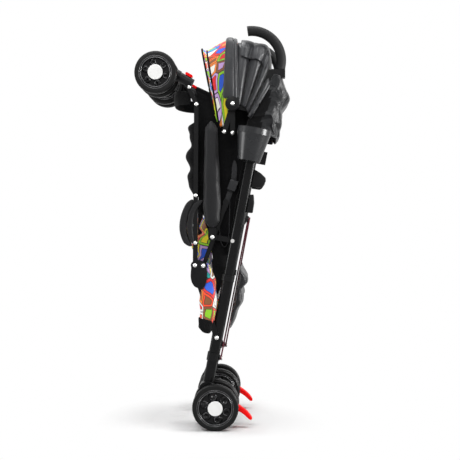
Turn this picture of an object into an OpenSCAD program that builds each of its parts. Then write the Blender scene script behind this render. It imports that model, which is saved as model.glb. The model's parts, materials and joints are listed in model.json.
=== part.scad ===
// Umbrella stroller, folded, standing on its rear wheels.
// +X is the rear of the stroller, -Y its left side and +Z is up.
// The side linkage is drawn upright beside the main tube and then leaned back with it.

/* [Frame] */
// Distance between the two main tubes, centre to centre, when folded
leg_gap = 213; // [190:1:260]
// Lean of the main tubes to the rear, in degrees
tube_lean = 10.8; // [6:0.1:14]
// Depth of a main tube, front to back
tube_w = 28; // [24:0.5:32]
// Thickness of a main tube, side to side
tube_t = 18; // [16:0.5:20]
// Wall of the steel tubes
tube_wall = 1.6; // [1.2:0.1:2.5]
// How far the main tube runs in front of the rear axle
tube_ahead = 32; // [28:0.5:36]
// Height of a main tube's lower end above the axle, along the tube
tube_start = 34; // [30:1:40]
// Height of a main tube's upper end above the axle, along the tube
tube_top = 905; // [890:1:930]

/* [Handle] */
// Diameter of the foam grip
grip_d = 26; // [22:0.5:28]
// Radius of the hooked grip at its middle line
hook_r = 78; // [70:1:90]
// Turn of the hooked grip, in degrees
hook_turn = 116; // [90:1:125]
// Direction of the grip's foot, in degrees above level
hook_foot_angle = 72; // [65:1:80]
// How far the grip stands behind the main tube
grip_back = 31; // [28:0.5:36]
// Height of the joint block between tube and grip
knuckle_h = 44; // [38:1:52]

/* [Wheels] */
// Diameter of a rear wheel
rear_d = 122; // [110:1:140]
// Diameter of a front wheel
front_d = 111; // [100:1:118]
// Width of every wheel
wheel_w = 24; // [20:0.5:26]
// Distance between the two wheels of a pair
twin_gap = 69; // [66:0.5:76]
// Depth of the tyre over the rim
tyre_depth = 13; // [10:0.5:16]
// Diameter of the wheel axles
axle_d = 8; // [6:0.5:9]
// Diameter of the pale hub caps
cap_d = 39; // [32:0.5:42]
// Thickness of the hub caps
cap_t = 2.6; // [2:0.1:4]
// Width of the wheel housings
housing_w = 34; // [30:0.5:38]

/* [Fold linkage] */
// Height of the fold pivot on the main tube
fold_s = 184; // [170:1:200]
// Height of the front leg's pivot
leg_pivot_s = 362; // [350:1:375]
// How far the front leg's pivot lies ahead of the tube
leg_pivot_ahead = 92.7; // [88:0.1:98]
// Height of the seat tube's pivot
seat_pivot_s = 365; // [355:1:375]
// How far the seat tube's pivot lies ahead of the tube
seat_pivot_ahead = 70.9; // [68:0.1:74]
// Height of the seat tube's free end
seat_end_s = 540; // [530:1:550]
// How far the seat tube's free end lies ahead of the tube
seat_end_ahead = 43.8; // [40:0.1:48]
// Height of the armrest's pivot
arm_pivot_s = 444; // [435:1:455]
// How far the armrest's pivot lies ahead of the tube
arm_pivot_ahead = 61.6; // [58:0.1:66]
// Height of the armrest's free end
arm_end_s = 721; // [700:1:735]
// How far the armrest's free end lies ahead of the tube
arm_end_ahead = 117.5; // [110:0.1:120]
// Diameter of the pivot pins
pin_d = 6; // [5:0.5:8]
// Diameter of the pin heads
head_d = 11; // [9:0.5:13]
// Thickness of the pin heads
head_t = 2; // [1.5:0.1:3]
// Thickness of the link plates and brackets
plate_t = 3; // [2:0.1:4]
// Width of the link plates round their pins
plate_w = 22; // [18:0.5:26]
// Width of the link plates' long arms
link_w = 15; // [12:0.5:18]

/* [Front leg] */
// Depth of the front leg and seat tubes, front to back
leg_w = 12; // [10:0.5:14]
// Thickness of the front leg, side to side
leg_t = 16; // [14:0.5:17]
// Thickness of the seat tube, side to side
seat_tube_t = 10; // [8:0.5:12]
// Height of the front leg's bend
leg_bend_s = 781; // [770:1:790]
// How far the front leg's bend lies ahead of the tube
leg_bend_ahead = 168.8; // [164:0.1:172]
// Height of the swivel sleeve's middle
swivel_s = 838; // [830:1:845]
// How far the swivel sleeve's middle lies ahead of the tube
swivel_ahead = 209; // [204:0.1:214]
// Tilt of the swivel axis, in degrees above level, towards the front
swivel_tilt = 30; // [24:0.5:36]
// Length of the swivel sleeve
sleeve_len = 40; // [34:0.5:46]
// Diameter of the swivel sleeve
sleeve_d = 26; // [22:0.5:30]
// Diameter of the fork's stem
stem_d = 12; // [10:0.5:14]
// Distance of the front axle beyond the sleeve's middle, along the swivel axis
fork_reach = 72.5; // [70:0.5:78]
// Trail of the front axle beside the swivel axis
fork_trail = 24.5; // [20:0.5:28]

/* [Rear brace] */
// Height of the brace bars' lower pivots
brace_foot_s = 131; // [120:1:140]
// Height of the brace bars' upper ends
brace_top_s = 508; // [495:1:515]
// Width of a brace bar
brace_w = 11; // [8:0.5:14]
// Thickness of a brace bar
brace_t = 4; // [3:0.5:5]
// Height of a slider
slider_h = 30; // [24:1:36]

/* [Canopy] */
// Height of the canopy's pivot
canopy_s = 798; // [790:1:806]
// How far the canopy's pivot lies ahead of the tube
canopy_ahead = 74.3; // [70:0.1:80]
// Diameter of the canopy's hub disc
hub_d = 37; // [30:0.5:42]
// Radius of the canopy about its pivot
canopy_r = 174; // [165:1:180]
// Angle of the canopy's front rim, in degrees above level behind
canopy_front = 116; // [110:1:118]
// Angle of the bow, in degrees above level behind
canopy_bow = 90; // [85:1:94]
// Thickness of the canopy's cloth
cloth_t = 3; // [2.5:0.1:4]

/* [Cup holder] */
// Inner diameter of the cup holder's mouth
cup_d = 81; // [70:1:85]
// Inner diameter of the cup holder's floor
cup_floor_d = 54; // [48:1:60]
// Height of the cup holder
cup_h = 84; // [70:1:100]
// Height of the straight mouth
cup_mouth_h = 16; // [10:1:24]
// Wall of the cup holder
cup_wall = 2.6; // [2:0.1:3.5]
// Height of the cup holder's floor along the tube
cup_s = 657; // [645:1:670]
// Height of the clamp on the tube
clamp_h = 34; // [28:1:40]

/* [Fits] */
// Radial clearance of a pin in its bore
run_fit = 0.05; // [0.02:0.01:0.1]
// Gap between faces that slide past each other
gap = 0.3; // [0.3:0.05:0.6]

/* [Hidden] */
$fn = 48;
hair = 0.04;
axle_h = rear_d / 2;
foot_x = -tube_ahead;
lean_sin = sin(tube_lean);
lean_cos = cos(tube_lean);

// Lanes across the stroller, measured inwards from the middle of a main tube
flank = tube_t / 2;
inner_plate = [flank + gap, flank + gap + plate_t];
outer_plate = [-flank - gap - plate_t, -flank - gap];
leg_lane = [-leg_t / 2, leg_t / 2];
seat_start = inner_plate[1] + head_t + gap;
seat_lane = [seat_start, seat_start + seat_tube_t];
hub_lane = [outer_plate[0] - gap - 6, outer_plate[0] - gap];
arm_lane = [-flank, flank];
wheel_lane = [twin_gap / 2 - wheel_w / 2, twin_gap / 2 + wheel_w / 2];

// Pivots in the side view: [distance behind the tube, height along it]
fold_p = [0, fold_s];
leg_p = [-leg_pivot_ahead, leg_pivot_s];
seat_p = [-seat_pivot_ahead, seat_pivot_s];
seat_end = [-seat_end_ahead, seat_end_s];
arm_p = [-arm_pivot_ahead, arm_pivot_s];
arm_end = [-arm_end_ahead, arm_end_s];
canopy_p = [-canopy_ahead, canopy_s];
leg_bend = [-leg_bend_ahead, leg_bend_s];
swivel_p = [-swivel_ahead, swivel_s];
swivel_angle = 180 - swivel_tilt + tube_lean;
swivel_dir = [cos(swivel_angle), sin(swivel_angle)];
swivel_side = [-swivel_dir[1], swivel_dir[0]];
front_axle = swivel_p + fork_reach * swivel_dir + fork_trail * swivel_side;

// World place of a side-view point: [x, z]
function world(p) = [
    foot_x + p[0] * lean_cos + p[1] * lean_sin,
    axle_h - p[0] * lean_sin + p[1] * lean_cos
];

// Grip: it starts behind the tube's top and hooks forwards
tube_end = world([0, tube_top]);
grip_foot = [tube_end[0] + grip_back, tube_end[1]];
hook_c = grip_foot + hook_r * [-sin(hook_foot_angle), cos(hook_foot_angle)];

// Cup holder beside the left tube
cup_outer_r = cup_d / 2 + cup_wall;
cup_lane = -flank - 4 - gap - cup_outer_r;
cup_x = -4;

// The part stands on the floor with its box centred on the origin
front_w = world(front_axle);
box_x = [front_w[0] - front_d / 2, hook_c[0] + hook_r + grip_d / 2];
box_y = [-leg_gap / 2 + cup_lane - cup_outer_r, leg_gap / 2 + wheel_lane[1] + cap_t];
origin_x = (box_x[0] + box_x[1]) / 2;
origin_y = (box_y[0] + box_y[1]) / 2;

// Pins and rivets
rivet_d = 5;
rivet_head_d = head_d - 1;
canopy_pin_d = 10;
slip = 0.1;
arm_bracket_end = [-tube_w / 4, arm_pivot_s];
canopy_bracket_end = [0, canopy_s];
tube_rivets = [arm_bracket_end, canopy_bracket_end];
canopy_fingers = [canopy_p + [-8, -75], canopy_p + [14, -74]];
plate_knee = (leg_p + seat_p) / 2 + [10, -48];

// Brake lever in the side view, from its pin to its tip
brake_p = [24, axle_h + 12];
brake_slot = 17;
brake_knee = [60, axle_h - 10];
brake_bend = [80, axle_h - 23];
brake_tip = [94, axle_h - 38];

// Wheels and fork
rim_spokes = 6;
fork_w = 26;
sleeve_cap = 4;
rear_w = [0, axle_h];
hub_in_rear = wheel_lane[0] - housing_w / 2 - gap;
hub_in_front = wheel_lane[0] - fork_w / 2 - gap;

// Cross brace: its two lanes behind the tube, and how far the sliders come down
brace_lane_a = [tube_w / 2 + 5, tube_w / 2 + 5 + brace_t];
brace_lane_b = [brace_lane_a[1] + 1, brace_lane_a[1] + 1 + brace_t];
brace_rise = brace_top_s - brace_foot_s;
brace_len = norm([leg_gap, brace_rise]);
width_travel = 147;
open_gap = leg_gap + width_travel;
slider_travel = brace_rise - sqrt(brace_len * brace_len - open_gap * open_gap);

// Armrest and its pad: share of the length, then half width or half thickness
arm_dir = (arm_end - arm_p) / norm(arm_end - arm_p);
pad_start = 24;
pad_rings = 14;
pad_sides = 14;
pad_half_w = [[0, 11], [0.12, 17], [0.3, 24], [0.55, 22], [0.8, 17], [0.95, 13], [1, 9]];
pad_half_t = [[0, 8], [0.1, 11], [0.5, 12.5], [0.9, 11], [1, 7]];

// Backrest: it is sewn in beside the armrest rivets
backrest_half = leg_gap / 2 - inner_plate[1] - head_t + 0.6;
backrest_s = [arm_pivot_s - 44, (arm_pivot_s + canopy_s) / 2 - 21, canopy_s - 29];
basket_s = [brace_foot_s + 89, brace_foot_s + 217, brace_top_s - 8];

// Canopy cloth: half widths, and the rear part's reach at each angle
hood_power = 3;
canopy_half = 86;
canopy_button = [leg_gap / 2 - canopy_half - gap - 3, leg_gap / 2 - canopy_half - gap];
canopy_tail = 36;
canopy_nest = 10;
rear_reach = [
    [-42, canopy_r - 16], [-25, canopy_r - 28], [-7, canopy_r - 40], [12, canopy_r - 34],
    [30, canopy_r - 25], [60, canopy_r - 3], [87, canopy_r + 2]
];
rear_half = leg_gap / 2 - flank + 0.8;
rear_turn = [87, -42];
rear_folds = 9;
fold_depth = 3;
front_low = 1.2;
rear_low = 9;

// Colours
black_paint = "#1b1b1d";
black_plastic = "#232325";
black_cloth = "#1a1a1b";
grey_cloth = "#3a3b3d";
pale_grey = "#d9d9d6";
red_plastic = "#d92222";
steel = "#b9bcc0";

// Puts a left-hand piece at its main tube, or mirrors it to the right-hand one
module on_side(right) {
    translate([-origin_x, -origin_y, 0]) {
        if (right) {
            mirror([0, 1, 0]) translate([0, -leg_gap / 2, 0]) children();
        } else {
            translate([0, -leg_gap / 2, 0]) children();
        }
    }
}

// Leans what is drawn upright beside the main tube
module leaned() {
    translate([foot_x, 0, axle_h]) rotate([0, tube_lean, 0]) children();
}

// Side-view outline given a thickness across the lane
module across(lane) {
    translate([0, lane[1], 0]) rotate([90, 0, 0]) linear_extrude(lane[1] - lane[0]) children();
}

// Outline with round ends, w front to back and t side to side
module stadium(w, t) {
    long = max(w, t);
    short = min(w, t);
    rotate(w >= t ? 0 : 90) {
        square([long - short, short], center = true);
        for (side = [-1, 1]) translate([side * (long - short) / 2, 0]) circle(d = short);
    }
}

// Straight strip between two points, a hair narrower than the round ends it meets
module strip(p, q, w) {
    side = w - hair;
    translate(p) rotate(atan2(q[1] - p[1], q[0] - p[0])) translate([0, -side / 2])
        square([norm(q - p), side]);
}

// Flat bar with round ends between two points
module bar(p, q, w) {
    for (c = [p, q]) translate(c) circle(d = w);
    strip(p, q, w);
}

// Pin across the lane at a side-view point
module cross_pin(p, d, lane) {
    translate([p[0], lane[1], p[1]]) rotate([90, 0, 0]) cylinder(d = d, h = lane[1] - lane[0]);
}

// Pin with a low round head at each end
module riveted_pin(p, lane, d = pin_d, head = head_d) {
    cross_pin(p, d, lane);
    for (end = [[lane[0] - head_t, lane[0]], [lane[1], lane[1] + head_t]]) cross_pin(p, head, end);
}

// Bore for a pin that turns in it
module pin_bore(p, lane, d = pin_d) {
    cross_pin(p, d + 2 * run_fit, [lane[0] - 1, lane[1] + 1]);
}

// Main tube, which is rear leg and push bar in one
module main_tube(right) {
    color(black_paint) on_side(right) leaned() difference() {
        translate([0, 0, tube_start]) linear_extrude(tube_top - tube_start) difference() {
            stadium(tube_w, tube_t);
            stadium(tube_w - 2 * tube_wall, tube_t - 2 * tube_wall);
        }
        pin_bore(fold_p, arm_lane);
        for (p = tube_rivets) pin_bore(p, arm_lane, rivet_d);
    }
}

// Foam grip on its steel rod, hooked over towards the front
module hook_run(d) {
    translate([hook_c[0], 0, hook_c[1]]) rotate([90, 0, 0]) rotate([0, 0, hook_foot_angle - 90])
        rotate_extrude(angle = hook_turn) translate([hook_r, 0]) circle(d = d);
}

module handle_grip(right) {
    color(black_plastic) on_side(right) hook_run(grip_d);
}

// Joint block that carries the grip behind the tube's top
module handle_knuckle(right) {
    knuckle_t = tube_t + 8;
    color(black_plastic) on_side(right) difference() {
        across([-knuckle_t / 2, knuckle_t / 2]) difference() {
            union() {
                bar(tube_end - [0, knuckle_h / 2], grip_foot - [4, knuckle_h / 4], knuckle_h * 0.75);
                translate(grip_foot - [grip_d / 2 + 3, knuckle_h / 2])
                    square([grip_d + 4, knuckle_h / 2]);
            }
            translate([tube_end[0] - 60, tube_end[1]]) square([160, 40]);
        }
        leaned() translate([0, 0, tube_start]) linear_extrude(tube_top - tube_start + 1)
            stadium(tube_w + slip, tube_t + slip);
        hook_run(grip_d + slip);
    }
}

// Moulded housing at the foot of the tube, which holds the axle and the brake
module rear_housing(right) {
    socket = tube_start + 30;
    half = housing_w / 2;
    color(black_plastic) on_side(right) difference() {
        across([-half, half]) {
            translate([0, axle_h]) circle(d = 46);
            strip([0, axle_h], world([0, tube_start]), 46);
            translate(world([0, tube_start])) circle(d = 46);
            strip(world([0, tube_start]), world([0, socket - 20]), 42);
            translate(world([0, socket - 20])) circle(d = 42);
            strip([0, axle_h], brake_p, 30);
            translate(brake_p) circle(d = 30);
        }
        leaned() translate([0, 0, tube_start]) linear_extrude(tube_top)
            stadium(tube_w + slip, tube_t + slip);
        cross_pin([0, axle_h], axle_d + slip, [-half - 1, half + 1]);
        cross_pin(brake_p, pin_d + slip, [-half - 1, half + 1]);
        across([-brake_slot / 2 - gap, brake_slot / 2 + gap])
            translate([brake_p[0] - 13, axle_h - 20]) square([60, 80]);
    }
}

// Rear axle and the brake's pin
module rear_axle(right) {
    reach = wheel_lane[1] - 1;
    half = housing_w / 2;
    color(steel) on_side(right) {
        cross_pin([0, axle_h], axle_d, [-reach, reach]);
        cross_pin(brake_p, pin_d, [-half, half]);
    }
}

// Brake lever that reaches out behind the wheels
module brake_lever(right) {
    color(red_plastic) on_side(right) difference() {
        across([-brake_slot / 2, brake_slot / 2]) {
            translate(brake_p) circle(d = 20);
            strip(brake_p, brake_knee, 14);
            translate(brake_knee) circle(d = 14);
            strip(brake_knee, brake_bend, 12);
            translate(brake_bend) circle(d = 12);
            strip(brake_bend, brake_tip, 9);
            translate(brake_tip) circle(d = 9);
        }
        pin_bore(brake_p, arm_lane);
    }
}

// Tyre of one wheel about the Y axis, with rounded shoulders
module tyre(d) {
    r = d / 2;
    round_r = tyre_depth / 2;
    rotate([90, 0, 0]) rotate_extrude() difference() {
        union() {
            translate([r - tyre_depth, -wheel_w / 2]) square([tyre_depth - round_r, wheel_w]);
            translate([r - round_r, -wheel_w / 2 + round_r]) square([round_r, wheel_w - 2 * round_r]);
            for (side = [-1, 1]) translate([r - round_r, side * (wheel_w / 2 - round_r)])
                circle(r = round_r);
        }
        for (groove = [-1, 1]) translate([r, groove * wheel_w / 6]) circle(r = 1.2);
    }
}

// Rim of one wheel about the Y axis, with curled openings round its hub
module rim(d, hub_in) {
    rim_r = d / 2 - tyre_depth - run_fit;
    hub_r = cap_d / 2 - 1;
    band = 5;
    mid_r = (hub_r + rim_r - band) / 2;
    hole_r = (rim_r - band - hub_r) / 2 - 0.5;
    difference() {
        rotate([90, 0, 0]) {
            translate([0, 0, -wheel_w / 2]) linear_extrude(wheel_w) circle(r = hub_r * 0.55);
            translate([0, 0, -wheel_w / 2 + 1]) linear_extrude(wheel_w - 2) difference() {
                circle(r = rim_r);
                circle(r = rim_r - band);
            }
            translate([0, 0, -4]) linear_extrude(8) difference() {
                circle(r = rim_r - 1);
                for (k = [0 : rim_spokes - 1]) rotate(k * 360 / rim_spokes) translate([mid_r, 0]) {
                    difference() {
                        circle(r = hole_r);
                        translate([hole_r * 0.45, hole_r * 0.45]) circle(r = hole_r * 0.62);
                    }
                }
            }
            translate([0, 0, -wheel_w / 2]) linear_extrude(wheel_w) difference() {
                circle(r = hub_r);
                circle(r = hub_r - 2.5);
            }
            translate([0, 0, wheel_w / 2]) cylinder(r = axle_d / 2 + 3, h = hub_in);
        }
        rotate([90, 0, 0]) cylinder(d = axle_d + 2 * run_fit, h = 3 * wheel_w, center = true);
    }
}

// Low domed cap over the hub
module hub_cap() {
    rotate([90, 0, 0]) rotate_extrude() {
        square([cap_d / 2 - 1.2, cap_t]);
        square([cap_d / 2, cap_t - 1.2]);
        translate([cap_d / 2 - 1.2, cap_t - 1.2]) intersection() {
            circle(r = 1.2);
            square(2);
        }
    }
}

// A pair of wheels beside the axle's middle, at a world place in the side view
module wheel_pair(w) {
    for (side = [-1, 1]) translate([w[0], side * twin_gap / 2, w[1]])
        rotate([0, 0, side > 0 ? 0 : 180]) children();
}

module rear_tyres(right) {
    color(black_plastic) on_side(right) wheel_pair(rear_w) tyre(rear_d);
}

module front_tyres(right) {
    color(black_plastic) on_side(right) wheel_pair(front_w) tyre(front_d);
}

module rear_rims(right) {
    color(black_plastic) on_side(right) wheel_pair(rear_w) rim(rear_d, hub_in_rear);
}

module front_rims(right) {
    color(black_plastic) on_side(right) wheel_pair(front_w) rim(front_d, hub_in_front);
}

module caps(right, w) {
    color(pale_grey) on_side(right) wheel_pair(w)
        translate([0, wheel_w / 2, 0]) rotate([0, 0, 180]) hub_cap();
}

module rear_caps(right) {
    caps(right, rear_w);
}

module front_caps(right) {
    caps(right, front_w);
}

// Brackets fixed to the main tube: canopy, armrest, brace foot and slider stop
module collar(s, h, grow) {
    translate([0, 0, s - h / 2]) linear_extrude(h) difference() {
        stadium(tube_w + grow, tube_t + grow);
        stadium(tube_w + slip, tube_t + slip);
    }
}
module side_brackets(right) {
    boss_h = right ? brace_lane_b[0] - gap : brace_lane_a[0] - gap;
    stop_s = brace_top_s - slider_travel - slider_h / 2 - 12;
    color(black_plastic) on_side(right) leaned() {
        difference() {
            across(outer_plate) {
                bar(canopy_p, canopy_bracket_end, plate_w);
                for (finger = canopy_fingers) {
                    strip(canopy_p, finger, 13);
                    translate(finger) circle(d = 13);
                }
            }
            pin_bore(canopy_p, outer_plate, canopy_pin_d);
            pin_bore(canopy_bracket_end, outer_plate, rivet_d);
            for (finger = canopy_fingers) pin_bore(finger, outer_plate, rivet_d);
        }
        difference() {
            across(inner_plate) bar(arm_p, arm_bracket_end, 14);
            pin_bore(arm_p, inner_plate);
            pin_bore(arm_bracket_end, inner_plate, rivet_d);
        }
        difference() {
            union() {
                collar(brace_foot_s, 22, 5);
                translate([tube_w / 2 + 2, 0, brace_foot_s]) rotate([0, 90, 0])
                    cylinder(d = brace_w + 4, h = boss_h - tube_w / 2 - 2);
            }
            translate([0, 0, brace_foot_s]) rotate([0, 90, 0]) cylinder(d = pin_d + slip, h = 60);
        }
        collar(stop_s, 16, 6);
    }
}

// Rivets of the brackets, the armrest's pin and the brace's foot pin
module frame_rivets(right) {
    foot_end = right ? brace_lane_b[1] : brace_lane_a[1];
    color(steel) on_side(right) leaned() {
        riveted_pin(arm_p, [arm_lane[0], inner_plate[1]]);
        cross_pin(canopy_bracket_end, rivet_d, [outer_plate[0], flank - tube_wall / 2]);
        cross_pin(canopy_bracket_end, rivet_head_d, [outer_plate[0] - head_t, outer_plate[0]]);
        riveted_pin(arm_bracket_end, [-flank, inner_plate[1]], rivet_d, rivet_head_d);
        for (finger = canopy_fingers) riveted_pin(finger, outer_plate, rivet_d, rivet_head_d);
        translate([tube_w / 2 + 1, 0, brace_foot_s]) rotate([0, 90, 0])
            cylinder(d = pin_d, h = foot_end + gap - tube_w / 2 - 1);
        translate([foot_end + gap, 0, brace_foot_s]) rotate([0, 90, 0]) cylinder(d = head_d, h = head_t);
    }
}

// Flat bars of the rear cross brace, each from one tube's foot to the other tube's slider
module brace_bar(right) {
    lane = right ? brace_lane_b : brace_lane_a;
    top = [leg_gap, brace_top_s];
    color(black_paint) on_side(right) leaned() difference() {
        translate([lane[0], 0, 0]) rotate([90, 0, 90]) linear_extrude(brace_t)
            bar([0, brace_foot_s], top, brace_w);
        translate([0, 0, brace_foot_s]) rotate([0, 90, 0]) cylinder(d = pin_d + 2 * run_fit, h = 60);
    }
}

// Saddle that slides behind the tube and holds the other bar's upper end
module brace_slider(right) {
    boss_end = (right ? brace_lane_a[0] : brace_lane_b[0]) - gap;
    color(black_plastic) on_side(right) leaned() translate([0, 0, brace_top_s - slider_h / 2]) {
        linear_extrude(slider_h) intersection() {
            difference() {
                stadium(tube_w + 8, tube_t + 8);
                stadium(tube_w + 2 * gap, tube_t + 2 * gap);
            }
            translate([1, -tube_t]) square([tube_w, 2 * tube_t]);
        }
        translate([tube_w / 2 + 2, 0, slider_h / 2]) rotate([0, 90, 0])
            cylinder(d = brace_w + 5, h = boss_end - tube_w / 2 - 2);
    }
}

// Twin link plates between the main tube and the front leg's and seat tube's pivots
module link_plates(right) {
    color(black_paint) on_side(right) leaned() for (lane = [inner_plate, outer_plate]) difference() {
        across(lane) {
            for (p = [leg_p, seat_p, plate_knee]) translate(p) circle(d = plate_w);
            strip(leg_p, plate_knee, plate_w);
            strip(seat_p, plate_knee, plate_w);
            strip(leg_p, seat_p, plate_w);
            strip(plate_knee, fold_p, link_w);
            translate(fold_p) circle(d = link_w);
        }
        for (p = [leg_p, seat_p, fold_p]) pin_bore(p, lane);
    }
}

// Pins of the linkage
module link_pins(right) {
    color(steel) on_side(right) leaned() {
        riveted_pin(leg_p, [outer_plate[0], inner_plate[1]]);
        riveted_pin(fold_p, [outer_plate[0], inner_plate[1]]);
        riveted_pin(seat_p, [outer_plate[0], seat_lane[1]]);
    }
}

// Front leg with its bend, which folds up beside the canopy
module front_leg(right) {
    color(black_paint) on_side(right) leaned() difference() {
        across(leg_lane) {
            translate(leg_p) circle(d = leg_w + 4);
            bar(leg_p, leg_bend, leg_w);
            bar(leg_bend, swivel_p, leg_w);
        }
        pin_bore(leg_p, leg_lane);
        sleeve_rod(sleeve_d + slip, [-sleeve_len / 2 - 1, sleeve_len / 2 + 1]);
    }
}

// Rod along the swivel axis, between two distances from the sleeve's middle
module sleeve_rod(d, ends) {
    start = swivel_p + ends[0] * swivel_dir;
    translate([start[0], 0, start[1]]) rotate([0, 90 - swivel_angle, 0])
        cylinder(d = d, h = ends[1] - ends[0]);
}

// Moulded sleeve that the fork's stem turns in
module swivel_sleeve(right) {
    half = sleeve_len / 2;
    color(black_plastic) on_side(right) leaned() difference() {
        sleeve_rod(sleeve_d, [-half, half]);
        sleeve_rod(stem_d + 2 * run_fit, [-half + sleeve_cap, half + 1]);
    }
}

// Fork that swivels, with the front axle
module front_fork(right) {
    half = sleeve_len / 2;
    crown_d = sleeve_d + 4;
    stem_end = sleeve_cap + gap - half;
    fork_lane = [-fork_w / 2, fork_w / 2];
    reach = wheel_lane[1] - 1;
    color(black_plastic) on_side(right) leaned() {
        difference() {
            union() {
                translate([swivel_p[0], 0, swivel_p[1]]) rotate([0, 90 - swivel_angle, 0])
                    rotate_extrude() polygon([
                        [0, stem_end], [stem_d / 2, stem_end], [stem_d / 2, half + gap],
                        [crown_d / 2, half + gap], [crown_d / 2, half + 12], [0, half + 12]
                    ]);
                across(fork_lane) bar(swivel_p + (half + 19) * swivel_dir, front_axle, 18);
            }
            cross_pin(front_axle, axle_d + slip, [-fork_w, fork_w]);
        }
        cross_pin(front_axle, axle_d, [-reach, reach]);
    }
}

// Sliding tab that locks the swivel
module swivel_lock(right) {
    lift = sleeve_d / 2 + gap;
    base = swivel_p - swivel_side * (lift + 3.5) - 8 * swivel_dir;
    color(red_plastic) on_side(right) leaned() across([-6, 6]) bar(base, base + 14 * swivel_dir, 7);
}

// Seat side tube, folded up beside the main tube, with its plastic end block
module seat_tube(right) {
    color(black_paint) on_side(right) leaned() difference() {
        across(seat_lane) {
            translate(seat_p) circle(d = leg_w + 4);
            bar(seat_p, seat_end, leg_w);
            translate(seat_end) circle(d = leg_w + 6);
        }
        pin_bore(seat_p, seat_lane);
    }
}

// Armrest: a lug on its pin, and a soft pad above it
module armrest_arm(right) {
    color(black_plastic) on_side(right) leaned() difference() {
        across([arm_lane[0] + gap, arm_lane[1]]) bar(arm_p, arm_p + (pad_start - 6) * arm_dir, 22);
        pin_bore(arm_p, arm_lane);
        translate([arm_p[0], 0, arm_p[1]]) rotate([0, 90 - atan2(arm_dir[1], arm_dir[0]), 0])
            translate([-40, -40, pad_start - gap]) cube(80);
    }
}

// Closed loft through rings of points, all with the same count, capped at both ends
module loft(rings) {
    n = len(rings[0]);
    m = len(rings);
    points = [for (ring = rings) each ring];
    sides = [for (i = [0 : m - 2]) for (j = [0 : n - 1]) each [
        [i * n + j, (i + 1) * n + j, (i + 1) * n + (j + 1) % n],
        [i * n + j, (i + 1) * n + (j + 1) % n, i * n + (j + 1) % n]
    ]];
    low = [for (j = [1 : n - 2]) [0, j, j + 1]];
    high = [for (j = [1 : n - 2]) [(m - 1) * n, (m - 1) * n + j + 1, (m - 1) * n + j]];
    polyhedron(points, concat(low, sides, high));
}

// Armrest pad: swells to its lower third, drawn in at both ends
module armrest_pad(right) {
    length = norm(arm_end - arm_p) - pad_start;
    color(black_cloth) on_side(right) leaned()
        translate([arm_p[0], 0, arm_p[1]]) rotate([0, 90 - atan2(arm_dir[1], arm_dir[0]), 0])
            loft([for (i = [0 : pad_rings]) let (t = i / pad_rings) [
                for (k = [0 : pad_sides - 1]) let (a = -360 * k / pad_sides) [
                    lookup(t, pad_half_w) * cos(a),
                    lookup(t, pad_half_t) * sin(a),
                    pad_start + length * t
                ]
            ]]);
}

// Canopy's hub disc, its bow arm and the pin it turns on
module canopy_arm(right) {
    arm_angle = canopy_bow + tube_lean;
    arm_way = [cos(arm_angle), sin(arm_angle)];
    tip = canopy_p + (canopy_r - 14) * arm_way;
    color(black_plastic) on_side(right) leaned() {
        difference() {
            across(hub_lane) {
                translate(canopy_p) circle(d = hub_d);
                bar(canopy_p, tip, 14);
            }
            across([hub_lane[0] - 1, hub_lane[0] + 3]) bar(canopy_p + (hub_d / 2 + 8) * arm_way, tip, 20);
        }
        cross_pin(canopy_p, canopy_pin_d, [hub_lane[1] - 0.01, canopy_button[0] + 0.01]);
        cross_pin(canopy_p, 24, canopy_button);
        cross_pin(canopy_p, head_d, [hub_lane[0] - head_t, hub_lane[0] + 0.01]);
    }
}

// Closed sheet between an outer and an inner grid of points, rows along u and columns along v
module sheet(outer, inner, rows, cols) {
    n = cols + 1;
    total = (rows + 1) * n;
    grid = [for (i = [0 : rows]) for (j = [0 : cols]) [i / rows, j / cols]];
    points = concat([for (g = grid) outer(g[0], g[1])], [for (g = grid) inner(g[0], g[1])]);
    cells = [for (i = [0 : rows - 1]) for (j = [0 : cols - 1]) i * n + j];
    top = [for (c = cells) each [[c, c + 1, c + n + 1], [c, c + n + 1, c + n]]];
    under = [for (c = cells) each [
        [total + c, total + c + n + 1, total + c + 1],
        [total + c, total + c + n, total + c + n + 1]
    ]];
    rim = concat(
        [for (i = [0 : rows]) i * n],
        [for (j = [1 : cols]) rows * n + j],
        [for (i = [1 : rows]) (rows - i) * n + cols],
        [for (j = [1 : cols - 1]) cols - j]
    );
    last = len(rim) - 1;
    edge = [for (k = [0 : last]) let (a = rim[k], b = rim[k == last ? 0 : k + 1]) each [
        [a, b, total + b], [a, total + b, total + a]
    ]];
    polyhedron(points, concat(top, under, edge));
}

// Point of a hood about the canopy's pivot: turned to an angle, across from side to side
function hood(angle, v, r, half, low) =
    let (a = low + (180 - 2 * low) * v)
    let (y = -half * sign(cos(a)) * pow(abs(cos(a)), 2 / hood_power))
    let (reach = r * pow(sin(a), 2 / hood_power))
    let (c = world(canopy_p))
    [c[0] + reach * cos(angle) - origin_x, y - origin_y, c[1] + reach * sin(angle)];

// Front of the canopy, with a tail that runs back under the rear part
module canopy_front() {
    turn = function(u) canopy_front + (canopy_tail - canopy_front) * u;
    reach = function(u) lookup(turn(u), rear_reach) - canopy_nest + sin(720 * u);
    outer = function(u, v) hood(turn(u), v, reach(u), canopy_half, front_low);
    inner = function(u, v) hood(turn(u), v, reach(u) - cloth_t, canopy_half - cloth_t, front_low);
    color(black_cloth) sheet(outer, inner, 18, 16);
}

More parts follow.
